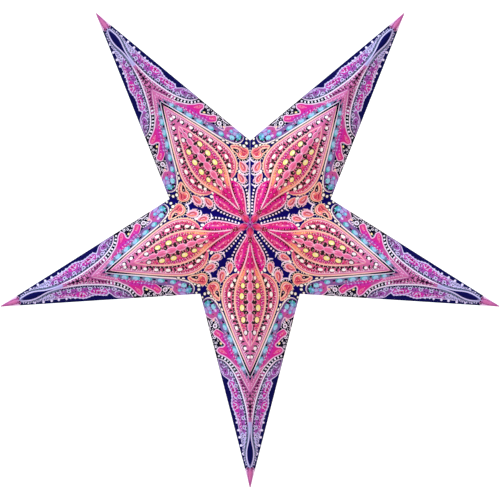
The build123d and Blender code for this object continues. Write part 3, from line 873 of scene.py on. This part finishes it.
printed_card = printed_card_material()
plain_card = plain_material("bare_card", BARE_CARD, (0.76, 0.71, 0.64),
                            scale=700, height=0.08 * MM, roughness=0.8)
hook_tape = plain_material("woven_hooks", (0.82, 0.80, 0.76), (0.6, 0.58, 0.54),
                           scale=2500, height=0.2 * MM, roughness=0.6)
loop_tape = plain_material("woven_loops", (0.84, 0.82, 0.78), (0.55, 0.53, 0.5),
                           scale=1800, height=0.35 * MM, roughness=0.9)
eyelet_metal = plain_material("bright_brass", (0.80, 0.60, 0.28), (0.66, 0.46, 0.18),
                              scale=500, height=0.03 * MM, roughness=0.28, metallic=1.0)


# Inks
def linear(value):
    """A screen colour's brightness as the renderer counts it."""
    return value / 12.92 if value <= 0.04045 else ((value + 0.055) / 1.055) ** 2.4


def ink_tones(code):
    """The red, green and blue of a colour that is written as on a screen."""
    return [linear(int(code[n:n + 2], 16) / 255) for n in (1, 3, 5)]


tones = {ink: (ink_tones(near), ink_tones(far)) for ink, (near, far) in inks.items()}


def ink_colour(ink, along):
    """An ink's colour at a distance from the middle of the star."""
    share = min(1, max(0, (along - NEAR_INKS) / (FAR_INKS - NEAR_INKS)))
    share = share * share * (3 - 2 * share)
    return [near + (far - near) * share for near, far in zip(*tones[ink])] + [1.0]


# The print, cut to a panel
def area(outline):
    """An outline's area, below nought where it runs clockwise."""
    return sum(a[0] * b[1] - b[0] * a[1] for a, b in zip(outline, outline[1:] + outline[:1])) / 2


def anticlockwise(outline):
    """The outline, turned round where it runs clockwise."""
    return outline if area(outline) > 0 else outline[::-1]


def without_repeats(outline):
    """The outline without places that lie on the one before."""
    return [place for place, before in zip(outline, outline[-1:] + outline[:-1])
            if math.hypot(place[0] - before[0], place[1] - before[1]) > SAME_PLACE]


def ready_to_cut(shapes):
    """The print's shapes with their outlines put in order."""
    return [(ink, anticlockwise(without_repeats(outline))) for ink, outline in shapes]


prints = ready_to_cut(whole_print())
seam_prints = ready_to_cut(whole_print() + seam_margin())
cut_prints = {}


def holds(outline, along, across):
    """Whether a place lies within an outline."""
    inside = False
    for (x0, y0), (x1, y1) in zip(outline, outline[1:] + outline[:1]):
        if (y0 > across) != (y1 > across) and along < x0 + (across - y0) / (y1 - y0) * (x1 - x0):
            inside = not inside
    return inside


def shape_at(shapes, along, across):
    """The number of the uppermost shape at a place, counted from one, or nought where none lies."""
    for number in range(len(shapes), 0, -1):
        if holds(shapes[number - 1][1], along, across):
            return number
    return 0


def ink_at(along, across):
    """The colour printed at one place."""
    number = shape_at(prints, along, across)
    return ink_colour(prints[number - 1][0] if number else "navy", along)


def cut_shapes(outline, shapes, shift):
    """The places and triangles of the print within an outline, each with its uppermost shape."""
    places, rings = [], []
    shifted = [[(along + shift, across + shift) for along, across in shape] for _, shape in shapes]
    for ring in [anticlockwise(outline)] + shifted:
        rings.append(list(range(len(places), len(places) + len(ring))))
        places += [Vector(place) for place in ring]
    # each triangle comes with the numbers of the rings that it lies in
    made, _, triangles, _, _, within = delaunay_2d_cdt(places, [], rings, 1, CUT_GRAIN, True)
    return made, [(triangle, max(rings_in)) for triangle, rings_in in zip(triangles, within)
                  if 0 in rings_in and len(rings_in) > 1]


def comes_out(outline, made, kept, shapes):
    """Whether the triangles fill the outline once, and the largest have the right shape on top."""
    parts = [([made[corner] for corner in triangle], top) for triangle, top in kept]
    parts.sort(key=lambda part: -abs(area(part[0])))
    if abs(sum(abs(area(corners)) for corners, _ in parts) - abs(area(outline))) > PRINT_SLACK:
        return False
    middles = [(sum(corners, Vector((0, 0))) / 3, top) for corners, top in parts[:PROOFED]]
    return all(shape_at(shapes, *middle) == top for middle, top in middles)


def cut_print(outline, shapes):
    """The print within an outline, as places, triangles and each triangle's ink."""
    key = (len(shapes), *sorted((round(along, 1), round(across, 1)) for along, across in outline))
    if key not in cut_prints:
        # edges that meet almost in one place can upset the cut, so each cut is proofed, and made
        # again a little further on where it fails
        for shift in PRINT_SHIFTS:
            made, kept = cut_shapes(outline, shapes, shift)
            if comes_out(outline, made, kept, shapes):
                break
        used = sorted({corner for triangle, _ in kept for corner in triangle})
        number = {corner: n for n, corner in enumerate(used)}
        cut_prints[key] = ([tuple(made[corner]) for corner in used],
                           [[number[corner] for corner in triangle] for triangle, _ in kept],
                           [shapes[top - 1][0] for _, top in kept])
    return cut_prints[key]


# Card panels
def meet(start, way, other, other_way):
    """Where two lines in a plane meet."""
    turn = way.x * other_way.y - way.y * other_way.x
    offset = other - start
    return start + way * ((offset.x * other_way.y - offset.y * other_way.x) / turn)


class Panel:
    """One flat panel: its nominal corners, its plane, the heights of its faces and its outline."""

    def __init__(self, face, point, half):
        self.face = face
        self.node = f"{point}_{face}_panel_{half}"
        self.body = f"{point}_{face}_{half}"
        # each hinge stands half way along its crease, so two of them give the panel's three corners
        ridge = Vector(joints[f"{point}_ridge_fold"]["pos_m"])
        outline = Vector(joints[f"{point}_outline_fold_{half}"]["pos_m"])
        self.centre = Vector((0, 2 * ridge.y, 0))
        self.tip = 2 * ridge - self.centre
        self.notch = 2 * outline - self.tip
        if face == "back":
            self.centre.y = -self.centre.y
        self.ridge_way = (self.tip - self.centre).normalized()
        across = self.notch - self.centre
        self.across_way = (across - across.dot(self.ridge_way) * self.ridge_way).normalized()
        normal = self.ridge_way.cross(self.across_way)
        self.turned = normal.dot(self.centre) < 0
        self.normal = -normal if self.turned else normal
        # the tip and the notch as seen from the front in the print, and in the panel's own plane
        seen_tip = Vector((self.tip.x, self.tip.z))
        seen_notch = Vector((self.notch.x, self.notch.z))
        self.print_tip = seen_tip.length / MM
        self.print_notch = Vector((seen_notch.dot(seen_tip.normalized()) / MM,
                                   abs(seen_notch.cross(seen_tip.normalized())) / MM))
        self.plane_tip, self.plane_notch = self.in_plane(self.tip), self.in_plane(self.notch)
        self.read_node()

    def read_node(self):
        """The heights of the panel's faces and the corners of its outer face, from its node."""
        mesh = frame["nodes"][self.node].data
        heights = [(vertex.co - self.centre).dot(self.normal) for vertex in mesh.vertices]
        self.inner, self.outer = min(heights), max(heights)
        middle = (self.inner + self.outer) / 2
        # the node's triangles are loose, so a corner is known by its place
        name = {vertex.index: tuple(round(x / TIGHT) for x in vertex.co) for vertex in mesh.vertices}
        place = {}
        edges = set()
        for face in mesh.polygons:
            if all(heights[corner] > middle for corner in face.vertices):
                around = [name[corner] for corner in face.vertices]
                place.update({name[corner]: mesh.vertices[corner].co for corner in face.vertices})
                edges.update(zip(around, around[1:] + around[:1]))
        following = {a: b for a, b in edges if (b, a) not in edges}
        start = min(following)
        around = [start]
        while following[around[-1]] != start:
            around.append(following[around[-1]])
        corners = [self.in_plane(place[key]) for key in around]
        self.corners = corners[::-1] if self.turned else corners

    def in_plane(self, spot):
        """Along the ridge and across from it, in the panel's own plane."""
        offset = spot - self.centre
        return Vector((offset.dot(self.ridge_way), offset.dot(self.across_way)))

    def in_space(self, flat, height):
        """The spot in space over a place in the panel's plane."""
        return self.centre + self.ridge_way * flat[0] + self.across_way * flat[1] + self.normal * height

    def to_print(self, flat):
        """The place in the print that lies on a place in the panel's plane."""
        share = flat[1] / self.plane_notch.y
        along = (flat[0] - share * self.plane_notch.x) / self.plane_tip.x
        return (along * self.print_tip + share * self.print_notch.x, share * self.print_notch.y)

    def from_print(self, place):
        """The place in the panel's plane under a place in the print."""
        share = place[1] / self.print_notch.y
        along = (place[0] - share * self.print_notch.x) / self.print_tip
        return Vector((along * self.plane_tip.x + share * self.plane_notch.x, share * self.plane_notch.y))

    def outline_at(self, height):
        """The sheet's outline at a height: the node's, out to the mitre at the creases that don't move."""
        following = self.corners[1:] + self.corners[:1]
        lines = [(a, (b - a).normalized()) for a, b in zip(self.corners, following)]
        valley = self.plane_notch.normalized()
        inwards = Vector((valley.y, -valley.x))
        for number, (start, way) in enumerate(lines):
            on_ridge = abs(way.y) < CREASE_LEAN
            on_valley = abs(way.cross(valley)) < CREASE_LEAN
            if self.face == "back" and on_ridge:
                lines[number] = (Vector((0, TIGHT - height * self.ridge_lean)), Vector((-1, 0)))
            elif self.face == "back" and on_valley and not self.at_seam:
                lines[number] = (inwards * (TIGHT + height * self.valley_lean), valley)
            elif self.face == "front" and on_valley and self.at_seam:
                shut = math.copysign(SEAM_SLOT / 2, self.tip.x) - self.normal.x * height
                lines[number] = (Vector((shut / self.ridge_way.x, 0)), way)
        return [meet(*lines[n - 1], *lines[n]) for n in range(len(lines))]


def half_turn(first, second):
    """The tangent of half the angle between two panels' normals."""
    return math.tan(first.normal.angle(second.normal) / 2)


panels = {}
for face in ("front", "back"):
    for point in POINTS:
        for half in HALVES:
            panel = Panel(face, point, half)
            panels[panel.body] = panel
# how the neighbours lean against each other; the last point and the first meet at the seam
for face in ("front", "back"):
    for number, point in enumerate(POINTS):
        first, second = panels[f"{point}_{face}_a"], panels[f"{point}_{face}_b"]
        first.ridge_lean = second.ridge_lean = half_turn(first, second)
        following = panels[f"{POINTS[(number + 1) % len(POINTS)]}_{face}_a"]
        second.valley_lean = following.valley_lean = half_turn(second, following)
        second.at_seam = following.at_seam = number == len(POINTS) - 1


def places_on_sides(outline, places):
    """For each side of an outline, the places that lie on it and how far along they are."""
    for start, end in zip(outline, outline[1:] + outline[:1]):
        run = end - start
        on_side = []
        for number, place in enumerate(places):
            offset = place - start
            share = offset.dot(run) / run.length_squared
            if -SHARE_SLACK < share < 1 - SHARE_SLACK and (offset - share * run).length < SIDE_SLACK:
                on_side.append((share, number))
        yield sorted(on_side)


def new_piece(name, vertices, faces, colours):
    """A piece of card. A face with colours for its corners is printed, one without is bare."""
    mesh = bpy.data.meshes.new(name)
    mesh.from_pydata(vertices, [], faces)
    piece = bpy.data.objects.new(name, mesh)
    bpy.context.collection.objects.link(piece)
    mesh.materials.append(printed_card)
    mesh.materials.append(plain_card)
    mesh.polygons.foreach_set("material_index", [0 if printed else 1 for printed in colours])
    layer = mesh.color_attributes.new("print", "FLOAT_COLOR", "CORNER")
    bare = [*BARE_CARD, 1.0]
    values = []
    for face, printed in zip(faces, colours):
        for colour in printed or [bare] * len(face):
            values += colour
    layer.data.foreach_set("color", values)
    mesh.update()
    return piece


def printed_sheet(panel):
    """A panel's card: the print on its outer face, bare card on its inner face and rims."""
    outer, inner = panel.outline_at(panel.outer), panel.outline_at(panel.inner)
    pale_margin = panel.body == f"{POINTS[0]}_front_a"
    places, triangles, inks_of = cut_print([panel.to_print(corner) for corner in outer],
                                           seam_prints if pale_margin else prints)
    flats = [panel.from_print(place) for place in places]
    vertices = [panel.in_space(flat, panel.outer) for flat in flats]
    faces, colours = [], []
    for triangle, ink in zip(triangles, inks_of):
        faces.append(triangle[::-1] if panel.turned else triangle)
        colours.append([ink_colour(ink, places[corner][0]) for corner in faces[-1]])
    upper, lower = [], []
    for side, on_side in enumerate(places_on_sides(outer, flats)):
        start, end = inner[side], inner[(side + 1) % len(inner)]
        for share, number in on_side:
            upper.append(number)
            lower.append(len(vertices))
            vertices.append(panel.in_space(start.lerp(end, max(0, share)), panel.inner))
    rims = [[upper[n - 1], lower[n - 1], lower[n], upper[n]] for n in range(len(upper))]
    for face in [lower[::-1]] + rims:
        faces.append(face[::-1] if panel.turned else face)
        colours.append(None)
    piece = new_piece(f"{panel.node}_sheet", vertices, faces, colours)
    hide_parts(panel.node)
    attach(piece, panel.body)


for panel in panels.values():
    printed_sheet(panel)


# Crease strips
def crease(name, first, second, rows, ink_ends, start, end):
    """A strip of card over a crease, between two panels. Each row runs along it."""
    count, size = CREASE_SECTIONS, len(rows)
    vertices, inks_along = [], []
    for section in range(count + 1):
        share = section / count
        vertices += [low.lerp(high, share) for low, high in rows]
        inks_along.append(ink_at(*[a + (b - a) * share for a, b in zip(*ink_ends)]))
    # the first half of the rows lies outside and is printed
    outside = size // 2 - 1
    faces, colours = [], []
    for section in range(count):
        here, there = section * size, (section + 1) * size
        for side in range(size):
            following = (side + 1) % size
            faces.append([here + side, here + following, there + following, there + side])
            printed = [inks_along[section]] * 2 + [inks_along[section + 1]] * 2
            colours.append(printed if side < outside else None)
    faces += [list(range(size))[::-1], list(range(count * size, (count + 1) * size))]
    colours += [None, None]
    piece = new_piece(name, vertices, faces, colours)
    # the rows can run round either way, so faces that point inwards are turned round
    check = bmesh.new()
    check.from_mesh(piece.data)
    if check.calc_volume(signed=True) < 0:
        bmesh.ops.reverse_faces(check, faces=check.faces)
        check.to_mesh(piece.data)
    check.free()
    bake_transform(piece)
    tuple(start)
    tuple(end)


def rounded_crease(name, first, second, low, high, ink_ends):
    """A crease that is proud on the outside, rounded over its line from one panel to the other."""
    turn = first.normal.angle(second.normal)
    axis = first.normal.cross(second.normal).normalized()
    onto_first = axis.cross(first.normal) * -CREASE_TAB
    onto_second = axis.cross(second.normal) * CREASE_TAB
    arc = []
    for side in range(CREASE_SIDES + 1):
        share = side / CREASE_SIDES
        way = first.normal * math.sin((1 - share) * turn) + second.normal * math.sin(share * turn)
        arc.append(way / math.sin(turn))
    upper = [first.normal * first.outer + onto_first] + [way * first.outer for way in arc]
    upper.append(second.normal * second.outer + onto_second)
    lower = [second.normal * second.inner + onto_second] + [way * first.inner for way in arc[::-1]]
    lower.append(first.normal * first.inner + onto_first)
    rows = [(low + offset, high + offset) for offset in upper + lower]
    middle = (low + high) / 2
    crease(name, first, second, rows, ink_ends, middle + upper[0], middle + upper[-1])


def valley_crease(name, first, second, ink_ends):
    """A crease that is hollow on the outside, between the outer edges of two panels."""
    edges = []
    for panel in (first, second):
        for height in (panel.outer, panel.inner):
            corners = panel.outline_at(height)
            near = min(corners, key=lambda corner: corner.length)
            far = min(corners, key=lambda corner: (corner - panel.plane_notch).length)
            edges.append((panel.in_space(near, height), panel.in_space(far, height)))
    first_outer, first_inner, second_outer, second_inner = edges
    outer_middle = [(a + b) / 2 for a, b in zip(first_outer, second_outer)]
    inner_middle = [(a + b) / 2 for a, b in zip(second_inner, first_inner)]
    rows = [first_outer, outer_middle, second_outer, second_inner, inner_middle, first_inner]
    start, end = sum(first_outer, Vector()) / 2, sum(second_outer, Vector()) / 2
    crease(name, first, second, rows, ink_ends, start, end)


for number, point in enumerate(POINTS):
    front_a, front_b = panels[f"{point}_front_a"], panels[f"{point}_front_b"]
    rounded_crease(f"{point}_ridge_crease", front_a, front_b, front_a.centre, front_a.tip, RIDGE_INKS)
    for half in HALVES:
        front, back = panels[f"{point}_front_{half}"], panels[f"{point}_back_{half}"]
        rounded_crease(f"{point}_outline_crease_{half}", front, back, front.notch, front.tip, OUTLINE_INKS)
    if number < len(POINTS) - 1:
        following = POINTS[number + 1]
        name = f"{point}_to_{following}_valley_crease"
        valley_crease(name, front_b, panels[f"{following}_front_a"], VALLEY_INKS)


# Editing
def select_only(pieces):
    """Leaves just these pieces selected, the first of them active."""
    bpy.ops.object.select_all(action="DESELECT")
    for piece in pieces:
        piece.select_set(True)
    bpy.context.view_layer.objects.active = pieces[0]


def start_edit(piece):
    """Opens one piece in edit mode, with all of it selected."""
    select_only([piece])
    bpy.ops.object.mode_set(mode="EDIT")
    bpy.ops.mesh.select_all(action="SELECT")


# Seam flaps
def seam_flap(face, side):
    """A flap's card. The front ones turn in, print to print; the back ones stand out, plain to plain."""
    name = f"{face}_seam_flap_{side}"
    source = frame["nodes"][name].data
    outwards = -1 if side == "left" else 1
    printed_side = -outwards if face == "front" else outwards
    ink = ink_colour("navy", FLAP_INK)
    vertices = [tuple(vertex.co) for vertex in source.vertices]
    faces, colours = [], []
    for polygon in source.polygons:
        faces.append(list(polygon.vertices))
        is_printed = polygon.normal.x * printed_side > FLAP_FACING
        colours.append([ink] * len(faces[-1]) if is_printed else None)
    piece = new_piece(f"{name}_card", vertices, faces, colours)
    start_edit(piece)
    bpy.ops.mesh.remove_doubles(threshold=TIGHT / 2)
    bpy.ops.object.mode_set(mode="OBJECT")
    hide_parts(name)
    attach(piece, name if face == "front" else BACK_FLAP_BODIES[side])


for face in ("front", "back"):
    for side in ("left", "right"):
        seam_flap(face, side)


# Metal eyelets in the back flaps
def rolled_eyelet(side):
    """A rolled metal ring: a barrel through the card, with a domed flange on each face."""
    node = f"hanging_eyelet_{side}"
    low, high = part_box(node)
    centre, reach, half = (low + high) / 2, (high.z - low.z) / 2, (high.x - low.x) / 2
    bore, thick = EYELET_BORE, EYELET_FLANGE
    # one half of the section, from the bore out over the flange and back to the barrel's outside, as
    # places along the bore's line and out from it
    right = [(half - thick * 1.3, bore), (half - thick * 0.5, bore + thick * 0.3), (half, bore + thick),
             (half, reach - thick * 0.8), (half - thick * 0.4, reach), (half - thick, reach),
             (half - thick, bore + EYELET_WALL)]
    section = right + [(-along, radius) for along, radius in right[::-1]]
    vertices = [centre + Vector((along, 0, radius)) for along, radius in section]
    edges = [[number, (number + 1) % len(section)] for number in range(len(section))]
    mesh = bpy.data.meshes.new(f"{node}_ring")
    mesh.from_pydata(vertices, edges, [])
    piece = bpy.data.objects.new(mesh.name, mesh)
    bpy.context.collection.objects.link(piece)
    start_edit(piece)
    bpy.ops.mesh.spin(steps=EYELET_STEPS, angle=2 * math.pi, center=centre, axis=(1, 0, 0))
    bpy.ops.mesh.select_all(action="SELECT")
    bpy.ops.mesh.remove_doubles(threshold=TIGHT)
    bpy.ops.mesh.normals_make_consistent(inside=False)
    bpy.ops.object.mode_set(mode="OBJECT")
    bpy.ops.object.shade_smooth_by_angle(angle=math.radians(EYELET_CORNER))
    piece.data.materials.append(eyelet_metal)
    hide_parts(node)
    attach(piece, BACK_FLAP_BODIES[side])


rolled_eyelet("left")
rolled_eyelet("right")


# Hook and loop dots
def node_boxes(name):
    """The boxes of a node's separate solids, as lowest and highest corners."""
    mesh = frame["nodes"][name].data
    spots = sorted((vertex.co for vertex in mesh.vertices), key=lambda spot: spot.z)
    groups = [[spots[0]]]
    for before, spot in zip(spots, spots[1:]):
        if spot.z - before.z > DOT_SPLIT:
            groups.append([])
        groups[-1].append(spot)
    boxes = []
    for group in groups:
        low = Vector([min(spot[axis] for spot in group) for axis in range(3)])
        high = Vector([max(spot[axis] for spot in group) for axis in range(3)])
        boxes.append((low, high))
    return boxes


def thread_arch(is_hook):
    """One tiny arch of thread, standing on the yz plane, with one leg cut short for a hook."""
    bpy.ops.object.select_all(action="DESELECT")
    bpy.ops.mesh.primitive_torus_add(major_radius=THREAD_ARCH, minor_radius=THREAD, major_segments=10,
                                     minor_segments=4, rotation=(math.radians(90), 0, 0))
    arch = bpy.context.object
    bpy.ops.object.transform_apply(rotation=True)
    start_edit(arch)
    bpy.ops.mesh.bisect(plane_co=(0, 0, 0), plane_no=(1, 0, 0), clear_inner=True, use_fill=True)
    if is_hook:
        bpy.ops.mesh.select_all(action="SELECT")
        bpy.ops.mesh.bisect(plane_co=(THREAD_ARCH * HOOK_CUT_SHARE, 0, 0), plane_no=(-1, 0, 3),
                            clear_outer=True, use_fill=True)
    bpy.ops.object.mode_set(mode="OBJECT")
    return arch


def woven_disc(place, radius, height):
    """The woven ground of a dot, with its edge softened."""
    bpy.ops.object.select_all(action="DESELECT")
    bpy.ops.mesh.primitive_cylinder_add(vertices=DOT_SIDES, radius=radius, depth=height,
                                        location=place, rotation=(0, math.radians(90), 0))
    disc = bpy.context.object
    bevel = disc.modifiers.new("soft_edge", "BEVEL")
    bevel.width = height / 4
    bevel.segments = 2
    bpy.ops.object.modifier_apply(modifier=bevel.name)
    return disc


def fastening_dots(name, body, material, slot):
    """Round dots of tape, each a woven disc that stands full of hooks or loops."""
    made = []
    arch = thread_arch(is_hook=slot == "hook_tape")
    for low, high in node_boxes(name):
        middle, radius = (low + high) / 2, (high.z - low.z) / 2
        # the tape's back lies on its flap, and its threads stand towards the seam
        way = 1 if middle.x < 0 else -1
        back = low.x if middle.x < 0 else high.x
        woven = (high.x - low.x) * WOVEN_SHARE
        made.append(woven_disc((back + way * woven / 2, middle.y, middle.z), radius, woven))
        for thread in range(THREADS):
            away = (radius - 2 * THREAD_ARCH) * math.sqrt((thread + 0.5) / THREADS)
            angle = thread * GOLDEN_ANGLE
            copy = bpy.data.objects.new(f"{name}_thread", arch.data.copy())
            bpy.context.collection.objects.link(copy)
            copy.location = (back + way * woven, middle.y + away * math.cos(angle),
                             middle.z + away * math.sin(angle))
            copy.rotation_euler = (thread * THREAD_TURN, 0 if way > 0 else math.pi, 0)
            made.append(copy)
    bpy.data.objects.remove(arch)
    select_only(made)
    bpy.ops.object.join()
    bpy.ops.object.transform_apply(location=True, rotation=True, scale=True)
    piece = bpy.context.object
    piece.name = f"{name}_tape"
    piece.data.materials.clear()
    piece.data.materials.append(material)
    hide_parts(name)
    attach(piece, body)


fastening_dots("front_hook_dots", "front_seam_flap_left", hook_tape, "hook_tape")
fastening_dots("front_loop_dots", "front_seam_flap_right", loop_tape, "loop_tape")
fastening_dots("back_hook_dots", BACK_FLAP_BODIES["left"], hook_tape, "hook_tape")
fastening_dots("back_loop_dots", BACK_FLAP_BODIES["right"], loop_tape, "loop_tape")


# Glued laps: the card's plain side shows
for name, node in frame["nodes"].items():
    if name.endswith("_lap"):
        node.data.materials.clear()
        node.data.materials.append(plain_card)


# Camera
scene = bpy.context.scene
camera = bpy.data.objects.new("camera", bpy.data.cameras.new("camera"))
scene.collection.objects.link(camera)
lowest_tip = panels["lower_front_a"].tip
pixels_per_metre = STAR_TIP_PIXELS / math.hypot(lowest_tip.x, lowest_tip.z)
half_frame = PHOTO_PIXELS / 2
camera.data.sensor_width = SENSOR_MM
camera.data.lens = SENSOR_MM * CAMERA_DISTANCE * pixels_per_metre / PHOTO_PIXELS
camera.data.clip_end = CAMERA_REACH
camera.location = ((half_frame - STAR_CENTRE_PIXEL[0]) / pixels_per_metre, -CAMERA_DISTANCE,
                   (STAR_CENTRE_PIXEL[1] - half_frame) / pixels_per_metre)
camera.rotation_euler = (math.radians(90), 0, 0)
scene.camera = camera


# Light all round, and the lamps
def light_all_round(colour):
    """White for what the camera, gloss and glass see, and a soft light for the object."""
    world = bpy.data.worlds.new("studio")
    world.use_nodes = True
    rays = add_node(world, "ShaderNodeLightPath")
    seen = rays.outputs["Is Camera Ray"]
    for kind in ("Is Glossy Ray", "Is Transmission Ray"):
        seen = calculate(world, "MAXIMUM", seen, rays.outputs[kind])
    mix = add_node(world, "ShaderNodeMix", data_type="RGBA")
    link(world, seen, mix.inputs["Factor"])
    mix.inputs["A"].default_value = (*colour, 1)
    mix.inputs["B"].default_value = (1, 1, 1, 1)
    sky = world.node_tree.nodes["Background"]
    sky.inputs["Strength"].default_value = 1.0
    link(world, mix.outputs["Result"], sky.inputs["Color"])
    scene.world = world


def disc_lamp(name, place, size, power, colour):
    """A round lamp that shines at the middle of the star."""
    light = bpy.data.lights.new(name, "AREA")
    light.shape = "DISK"
    light.size = size
    light.energy = power
    light.color = colour
    lamp = bpy.data.objects.new(name, light)
    scene.collection.objects.link(lamp)
    lamp.location = place
    lamp.rotation_euler = Vector(place).to_track_quat("Z", "Y").to_euler()


light_all_round(ROOM_LIGHT)
for name, settings in LAMPS.items():
    disc_lamp(name, *settings)


# Floor and backdrop
def glow_for_camera(material, near, far):
    """Lifts a paper to white for the camera, with the star's shadow left on it."""
    rays = add_node(material, "ShaderNodeLightPath")
    place = add_node(material, "ShaderNodeTexCoord")
    distance = add_node(material, "ShaderNodeVectorMath", operation="LENGTH")
    link(material, place.outputs["Object"], distance.inputs[0])
    fade = stretched(material, distance.outputs["Value"], near, far, GLOW_NEAR, GLOW_FAR)
    glow = calculate(material, "MULTIPLY", rays.outputs["Is Camera Ray"], fade)
    shader_inputs(material)["Emission Color"].default_value = (1, 1, 1, 1)
    link(material, glow, shader_inputs(material)["Emission Strength"])


def show_front(material, camera_only):
    """Lets the light through from behind, and on request every ray but the camera's."""
    side = add_node(material, "ShaderNodeNewGeometry")
    seen = add_node(material, "ShaderNodeLightPath").outputs["Is Camera Ray"] if camera_only else 1.0
    solid = calculate(material, "SUBTRACT", seen, side.outputs["Backfacing"], use_clamp=True)
    clear = add_node(material, "ShaderNodeBsdfTransparent")
    mix = add_node(material, "ShaderNodeMixShader")
    nodes = material.node_tree.nodes
    link(material, solid, mix.inputs["Fac"])
    link(material, clear.outputs[0], mix.inputs[1])
    link(material, nodes["Principled BSDF"].outputs["BSDF"], mix.inputs[2])
    link(material, mix.outputs[0], nodes["Material Output"].inputs["Surface"])


def paper(name, finish, size, place, lean, grey, specular, glow, camera_only):
    """A large sheet of paper, which shows from its front only."""
    bpy.ops.object.select_all(action="DESELECT")
    bpy.ops.mesh.primitive_plane_add(size=size, location=place, rotation=(math.radians(lean), 0, 0))
    sheet = bpy.context.object
    sheet.name = name
    material = new_material(finish, roughness=0.9, specular=specular)
    shader_inputs(material)["Base Color"].default_value = (grey, grey, grey, 1)
    glow_for_camera(material, *glow)
    show_front(material, camera_only)
    sheet.data.materials.append(material)
    return sheet


floor = paper("floor", "pale_floor", FLOOR_SIZE, (0, 0, FLOOR), lean=0, grey=FLOOR_GREY,
              specular=0.3, glow=FLOOR_GLOW, camera_only=False)
backdrop = paper("backdrop", "white_backdrop", BACKDROP_SIZE, (0, BACKDROP, FLOOR + BACKDROP_SIZE / 2),
                 lean=90, grey=BACKDROP_GREY, specular=0.0, glow=BACKDROP_GLOW, camera_only=True)

scene.view_settings.view_transform = "Standard"
